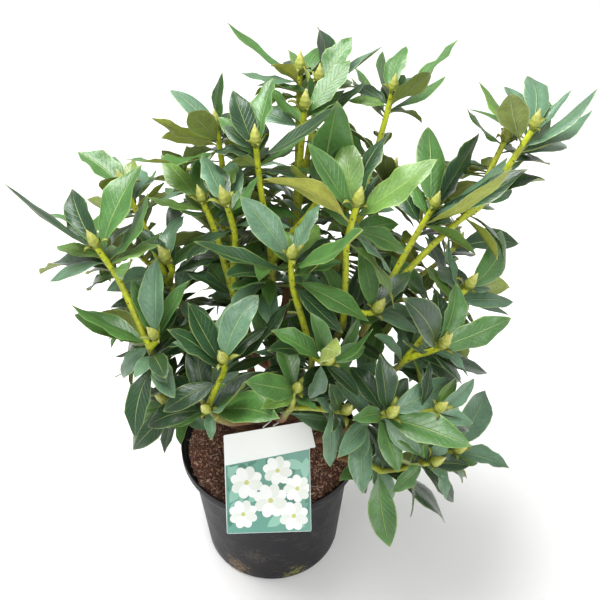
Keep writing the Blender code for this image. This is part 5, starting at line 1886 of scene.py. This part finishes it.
def bed_mesh():
    """Top, wall and underside of the compost."""
    edge = inner_radius(SOIL_LEVEL - 0.008) - BED_AIR
    points, faces = [(0, 0, soil_height(0, 0))], []
    for ring in range(1, BED_RINGS + 1):
        radius = edge * ring / BED_RINGS
        for angle in turns(BED_STEPS):
            x, y, _ = polar(radius, angle, 0)
            points.append((x, y, soil_height(x, y)))
    for height in (SHOULDER_HEIGHT, BASE_CORNER, WALL + 0.0004):
        inset = BED_AIR + (0.004 if height < BASE_CORNER else 0)
        radius = inner_radius(max(height, BASE_CORNER)) - inset
        points += [polar(radius, angle, height) for angle in turns(BED_STEPS)]
    for step in range(BED_STEPS):
        faces.append((0, 1 + step, 1 + (step + 1) % BED_STEPS))
    for ring in range(BED_RINGS + 2):
        for step in range(BED_STEPS):
            a, b = 1 + ring * BED_STEPS + step, 1 + ring * BED_STEPS + (step + 1) % BED_STEPS
            faces.append((a, a + BED_STEPS, b + BED_STEPS, b))
    faces.append(tuple(len(points) - BED_STEPS + step for step in range(BED_STEPS))[::-1])
    mesh = new_mesh("compost_bed", points, faces)
    mesh.polygons.foreach_set("use_smooth", [True] * (len(faces) - 1) + [False])
    return mesh


bed = add_object("compost_bed", bed_mesh())
bed.data.materials.append(mottled("compost_dark", (0.110, 0.050, 0.035), 0.95, 130.0, 0.75, 0.0016))
ride(bed, "compost", "compost")
print("bed", len(bed.data.polygons), "faces")

# %% Tree: litter on the compost
def litter_tree():
    """Scatter a template over the upward faces of a bed."""
    tree, given, out = new_tree(
        "scattered_litter", "GeometryNodeTree",
        (("Geometry", "Geometry", None), ("Piece", "Object", None), ("Density", "Float", 1000.0),
         ("Smallest", "Float", 0.6), ("Largest", "Float", 1.4), ("Tip", "Float", 0.5),
         ("Seed", "Int", 1), ("Finish", "Material", None)),
        (("Geometry", "Geometry", None),))
    normal = put(tree, "GeometryNodeInputNormal").outputs[0]
    upward = put(tree, "ShaderNodeSeparateXYZ", {0: normal}).outputs["Z"]
    chosen = put(tree, "FunctionNodeCompare", {0: upward, 1: 0.3}, data_type="FLOAT",
                 operation="GREATER_THAN")
    tip, seed = given["Tip"], given["Seed"]
    points = put(tree, "GeometryNodeDistributePointsOnFaces", {
        "Mesh": given["Geometry"], "Selection": chosen.outputs[0],
        "Density": given["Density"], "Seed": seed})
    back = times(tree, tip, -1.0)
    least = put(tree, "ShaderNodeCombineXYZ", {0: back, 1: back, 2: 0.0}).outputs[0]
    most = put(tree, "ShaderNodeCombineXYZ", {0: tip, 1: tip, 2: math.tau}).outputs[0]
    spin = put(tree, "FunctionNodeRandomValue", {0: least, 1: most, 8: seed},
               data_type="FLOAT_VECTOR")
    size = put(tree, "FunctionNodeRandomValue", {
        2: given["Smallest"], 3: given["Largest"], 8: plus(tree, seed, 1.0)},
        data_type="FLOAT")
    turned = put(tree, "FunctionNodeEulerToRotation", {0: spin.outputs[0]}).outputs[0]
    strewn = put(tree, "GeometryNodeInstanceOnPoints", {
        "Points": points.outputs["Points"], "Instance": shape_of(tree, given["Piece"]),
        "Rotation": turned, "Scale": size.outputs[1]}).outputs[0]
    finish_tree(tree, given, out, strewn)
    return tree


FIBRE_RADIUS = 0.00024


def crumb_template(name, size, seed, rough):
    """A small rough lump with three sizes."""
    work = bmesh.new()
    bmesh.ops.create_icosphere(work, subdivisions=1, radius=1)
    chance = random.Random(seed)
    for vert in work.verts:
        swell = 1 + chance.uniform(-rough, rough)
        vert.co = Vector([c * s * swell for c, s in zip(vert.co, size)])
    return object_from(work, name)


def fibre_template(name):
    """A thin bent fibre."""
    stations = (-1, -0.5, 0, 0.5, 1)
    points = [
        Vector((0.0055 * t, 0.0016 * math.sin(2.4 * t), 0.0004 + 0.0006 * t * t)) for t in stations]
    skin, faces = loft(tube_rings(points, [FIBRE_RADIUS] * len(points), 3))
    return add_object(name, new_mesh(name, skin, faces))


# each kind: its shape, how many to a square metre, its largest size, how far it tips over, its
# colour and how much that wanders
LITTER = (
    ("soil_crumbs", crumb_template("crumb", (0.0014, 0.0012, 0.0010), 3, 0.30),
     90000, 1.2, 3.0, (0.240, 0.116, 0.080), 1.0),
    ("red_crumbs", crumb_template("red_crumb", (0.0018, 0.0012, 0.0009), 5, 0.35),
     34000, 1.3, 3.0, (0.480, 0.260, 0.190), 0.8),
    ("bark_chips", crumb_template("chip", (0.0048, 0.0021, 0.0007), 8, 0.25),
     4200, 1.1, 0.5, (0.560, 0.350, 0.260), 0.5),
    ("fibres", fibre_template("fibre"), 13000, 1.2, 0.35, (0.640, 0.480, 0.400), 0.3))
SMALLEST_LITTER = 0.4
LITTER_TREE = litter_tree()
for index, (name, template, density, largest, tip, colour, amount) in enumerate(LITTER):
    source = add_object(name + "_source", bed.data.copy())
    litter = run_nodes(name, source, LITTER_TREE, {
        "Piece": template, "Density": float(density), "Smallest": SMALLEST_LITTER,
        "Largest": largest, "Tip": tip, "Seed": index + 11,
        "Finish": mottled(name, colour, 0.9, 300.0, amount)})
    bpy.data.objects.remove(template, do_unlink=True)
    ride(litter, "compost")

# %% [markdown]
# ## The label
# A die-cut card hangs over the front of the rim: an upright picture with a slanted white band
# across its top. The picture is a plain pattern: big round white rosettes on teal, among simple
# leaf shapes. Print is thin, but it still has an edge, so each printed shape is a real
# sheet a tenth of a millimetre thick.

# %% Card and print sheets
PRINT_LIFT = 0.00012
CARD_ROUND = 0.0016
INSET = 0.0004


def rounded(outline, reach, steps=4):
    """An outline with its corners rounded."""
    soft = []
    count = len(outline)
    for i in range(count):
        before, here, after = (Vector(outline[(i + k) % count]) for k in (-1, 0, 1))
        start = here + (before - here).normalized() * reach
        end = here + (after - here).normalized() * reach
        for j in range(steps + 1):
            t = j / steps
            soft.append(start * (1 - t) ** 2 + here * (2 * t * (1 - t)) + end * t * t)
    return soft


def sheet(outline, low, high):
    """A flat closed sheet between two heights, in the card's own plane."""
    count = len(outline)
    points = [Vector((x, y, low)) for x, y in outline] + [Vector((x, y, high)) for x, y in outline]
    faces = [tuple(range(count))[::-1], tuple(range(count, 2 * count))]
    faces += [(i, (i + 1) % count, count + (i + 1) % count, count + i) for i in range(count)]
    return points, faces


def joined_sheets(name, sheets, finishes):
    """Sheets of (points, faces, finish number) as one piece, in the card's place."""
    points, faces, numbers = [], [], []
    place = card_place()
    for skin, sides, number in sheets:
        first = len(points)
        points += [place @ point for point in skin]
        faces += [tuple(first + k for k in side) for side in sides]
        numbers += [number] * len(sides)
    mesh = new_mesh(name, points, faces)
    for finish in finishes:
        mesh.materials.append(finish)
    mesh.polygons.foreach_set("material_index", numbers)
    print(name, len(faces), "faces")
    return add_object(name, mesh)


def signed_area(outline):
    """Twice the area of an outline, positive when it runs counter-clockwise."""
    return sum(a[0] * b[1] - b[0] * a[1] for a, b in zip(outline, outline[1:] + outline[:1]))


CARD_OUTLINE = [
    (CARD_LEFT, CARD_FOOT - 0.001), (CARD_RIGHT, CARD_FOOT + 0.002),
    (CARD_RIGHT - 0.002, CARD_BAND_FOOT - 0.001), (CARD_RIGHT + CARD_JUT, CARD_BAND_FOOT),
    (CARD_RIGHT - 0.002, CARD_TOP_RIGHT), (CARD_LEFT - 0.004, CARD_TOP_LEFT)]
CARD_FACE = CARD_THICKNESS / 2
card_finish = mottled("card_white", (0.90, 0.925, 0.925), 0.35, 30.0, 0.02, 0.00002, coat=0.3)
card_skin, card_sides = sheet(rounded(CARD_OUTLINE, CARD_ROUND), -CARD_FACE, CARD_FACE)
card = joined_sheets("label_body", [(card_skin, card_sides, 0)], [card_finish])
ride(card, "label_print", "label_card")

# %% The printed pattern
BAND_DROP = 0.0195
PICTURE = [
    (CARD_LEFT + INSET, CARD_FOOT - 0.001 + INSET), (CARD_RIGHT - INSET, CARD_FOOT + 0.002 + INSET),
    (CARD_RIGHT - 0.002 - INSET, CARD_BAND_FOOT - 0.002),
    (CARD_LEFT - 0.002 + INSET, CARD_BAND_FOOT - 0.002 - BAND_DROP)]
ROSETTES = (
    (-0.025, 0.036, 0.0195), (0.011, 0.050, 0.0175), (0.034, 0.029, 0.0165), (0.003, 0.015, 0.0205),
    (-0.029, -0.001, 0.0170), (0.030, -0.003, 0.0175))
PETALS = 8
TEAL, LEAF_DARK, LEAF_PALE, PETAL, PETAL_SHADE, EYE_GREEN = range(6)


def in_picture(outline):
    """Keep a shape's points inside the picture, under the slanted band."""
    kept = []
    for x, y in outline:
        x = min(max(x, CARD_LEFT + 2 * INSET), CARD_RIGHT - 0.002 - 2 * INSET)
        across = (x - CARD_LEFT) / (CARD_RIGHT - CARD_LEFT)
        top = CARD_BAND_FOOT - 0.003 - BAND_DROP * (1 - across)
        kept.append((x, min(max(y, CARD_FOOT + 0.003 + 2 * INSET), top)))
    return kept


def petal_outline(x, y, reach, angle):
    """A round petal that starts at a rosette's middle."""
    points = []
    for a in turns(14):
        along, across = reach * (0.56 + 0.44 * math.cos(a)), reach * 0.33 * math.sin(a)
        points.append((x + along * math.cos(angle) - across * math.sin(angle),
                       y + along * math.sin(angle) + across * math.cos(angle)))
    return points


def leaf_outline(x, y, reach, angle):
    """A plain pointed leaf."""
    ends = [(i / 6, 0.24 * math.sin(math.pi * i / 6)) for i in range(7)]
    spots = ends + [(a, -b) for a, b in ends[-2:0:-1]]
    return [(x + reach * (a * math.cos(angle) + b * math.sin(angle)),
             y + reach * (a * math.sin(angle) - b * math.cos(angle))) for a, b in spots]


def disc(x, y, radius):
    """A small round spot."""
    return [(x + radius * math.cos(a), y + radius * math.sin(a)) for a in turns(12)]


def print_sheets():
    """Ground, leaves, petals and eyes, each a little above the last."""
    chance = random.Random(SEED + 3)
    def layer(outline, level, number):
        if signed_area(outline) < 0:
            outline = outline[::-1]
        low = CARD_FACE + 0.00002 + PRINT_LIFT * level
        return (*sheet([Vector(p) for p in outline], low, low + PRINT_LIFT * 0.8), number)
    sheets = [layer(PICTURE, 0, TEAL)]
    for row in range(6):
        for column in range(5):
            x, y = CARD_LEFT + 0.003 + 0.022 * column, -0.016 + 0.014 * row
            leaf = leaf_outline(x, y, chance.uniform(0.018, 0.028), chance.uniform(0.2, 2.9))
            colour = chance.choice((LEAF_DARK, LEAF_PALE))
            sheets.append(layer(in_picture(leaf), 1 + 0.02 * len(sheets), colour))
    for index, (x, y, reach) in enumerate(ROSETTES):
        turn = chance.uniform(0, 1)
        level = 2.2 + 0.2 * index
        for petal in range(PETALS):
            outline = petal_outline(x, y, reach, turn + math.tau * petal / PETALS)
            colour = PETAL_SHADE if petal % 3 == 1 else PETAL
            sheets.append(layer(in_picture(outline), level + 0.02 * petal, colour))
        sheets.append(layer(disc(x, y, reach * 0.15), level + 0.3, EYE_GREEN))
    return sheets


PRINT_COLOURS = (
    ("print_teal", (0.120, 0.330, 0.260)), ("print_leaf_dark", (0.055, 0.210, 0.150)),
    ("print_leaf_pale", (0.270, 0.540, 0.430)), ("print_petal", (0.90, 0.92, 0.91)),
    ("print_petal_shade", (0.79, 0.83, 0.78)), ("print_eye", (0.58, 0.60, 0.20)))
print_finishes = [
    mottled(name, colour, 0.35, 60.0, 0.06, 0.00002, coat=0.3) for name, colour in PRINT_COLOURS]
picture = joined_sheets("label_picture", print_sheets(), print_finishes)
ride(picture, "label_print")

# %% Strap
KNOT_SHARE = 0.42
STRAP_SHARE = 0.503
STRAP_SPREAD = 0.006


def strap_points():
    """From the card's top edge round the front bough and back."""
    place = card_place()
    limb = plant.limbs["bough_front"]
    knot, along = point_on(limb["points"], KNOT_SHARE)
    around = limb["radii"][0] + STRAP_RADIUS + STRAP_SLACK
    edge = CARD_TOP_LEFT + (CARD_TOP_RIGHT - CARD_TOP_LEFT) * STRAP_SHARE + STRAP_RADIUS + GAP
    side = along.cross(place.to_3x3() @ Vector((0, 1, 0))).normalized()
    side = -side if side.x < 0 else side
    back = side.cross(along).normalized()
    back = -back if back.y < 0 else back
    ring = [math.radians(200 - 220 * i / 8) for i in range(9)]
    loop = [knot + (side * math.cos(a) + back * math.sin(a)) * around for a in ring]
    left = place @ Vector((-STRAP_SPREAD, edge - 0.0005, 0))
    right = place @ Vector((STRAP_SPREAD, edge + 0.0016, 0))
    return smooth_route([left] + loop + [right], 6)


def strap_mesh():
    """A thin round strap."""
    points = strap_points()
    skin, faces = loft(tube_rings(points, [STRAP_RADIUS] * len(points), 10))
    return new_mesh("label_loop", skin, faces, smooth=True)


strap = add_object("label_loop", strap_mesh())
strap_finish = mottled("strap_white", (0.78, 0.80, 0.76), 0.35, 200.0, 0.10, 0.00003, coat=0.2)
strap.data.materials.append(strap_finish)
ride(strap, "label_strap", "label_strap")

# %% [markdown]
# ## Floor
# The plant stands on a wide pale sheet that isn't part of it. It is nearly white, with the
# faintest grain, so that only the soft shadow under the pot shows.

# %% Floor
FLOOR_REACH = 6.0
FLOOR_LEVEL = -0.0002
corners = ((-1, -1), (1, -1), (1, 1), (-1, 1))
floor_mesh = new_mesh(
    "floor", [(x * FLOOR_REACH, y * FLOOR_REACH, FLOOR_LEVEL) for x, y in corners], [(0, 1, 2, 3)])
floor_mesh.materials.append(mottled("paper_sheet", (0.93, 0.93, 0.93), 0.9, 3.0, 0.01, 0.00005))
floor = add_object("floor", floor_mesh)
floor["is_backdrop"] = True
print("floor ready")

# %% [markdown]
# ## The size
# The dressed plant must stay the size of the imported one, so the sizes of both boxes are printed.

# %% Sizes
boxes = {
    "cad": [list(corner) for corner in cad_box],
    "visual": [list(corner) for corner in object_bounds()]}
for label, (low, high) in boxes.items():
    print(label, [round(b - a, 4) for a, b in zip(low, high)])
total = sum(len(piece.data.polygons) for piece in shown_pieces())
print("faces in all", total)
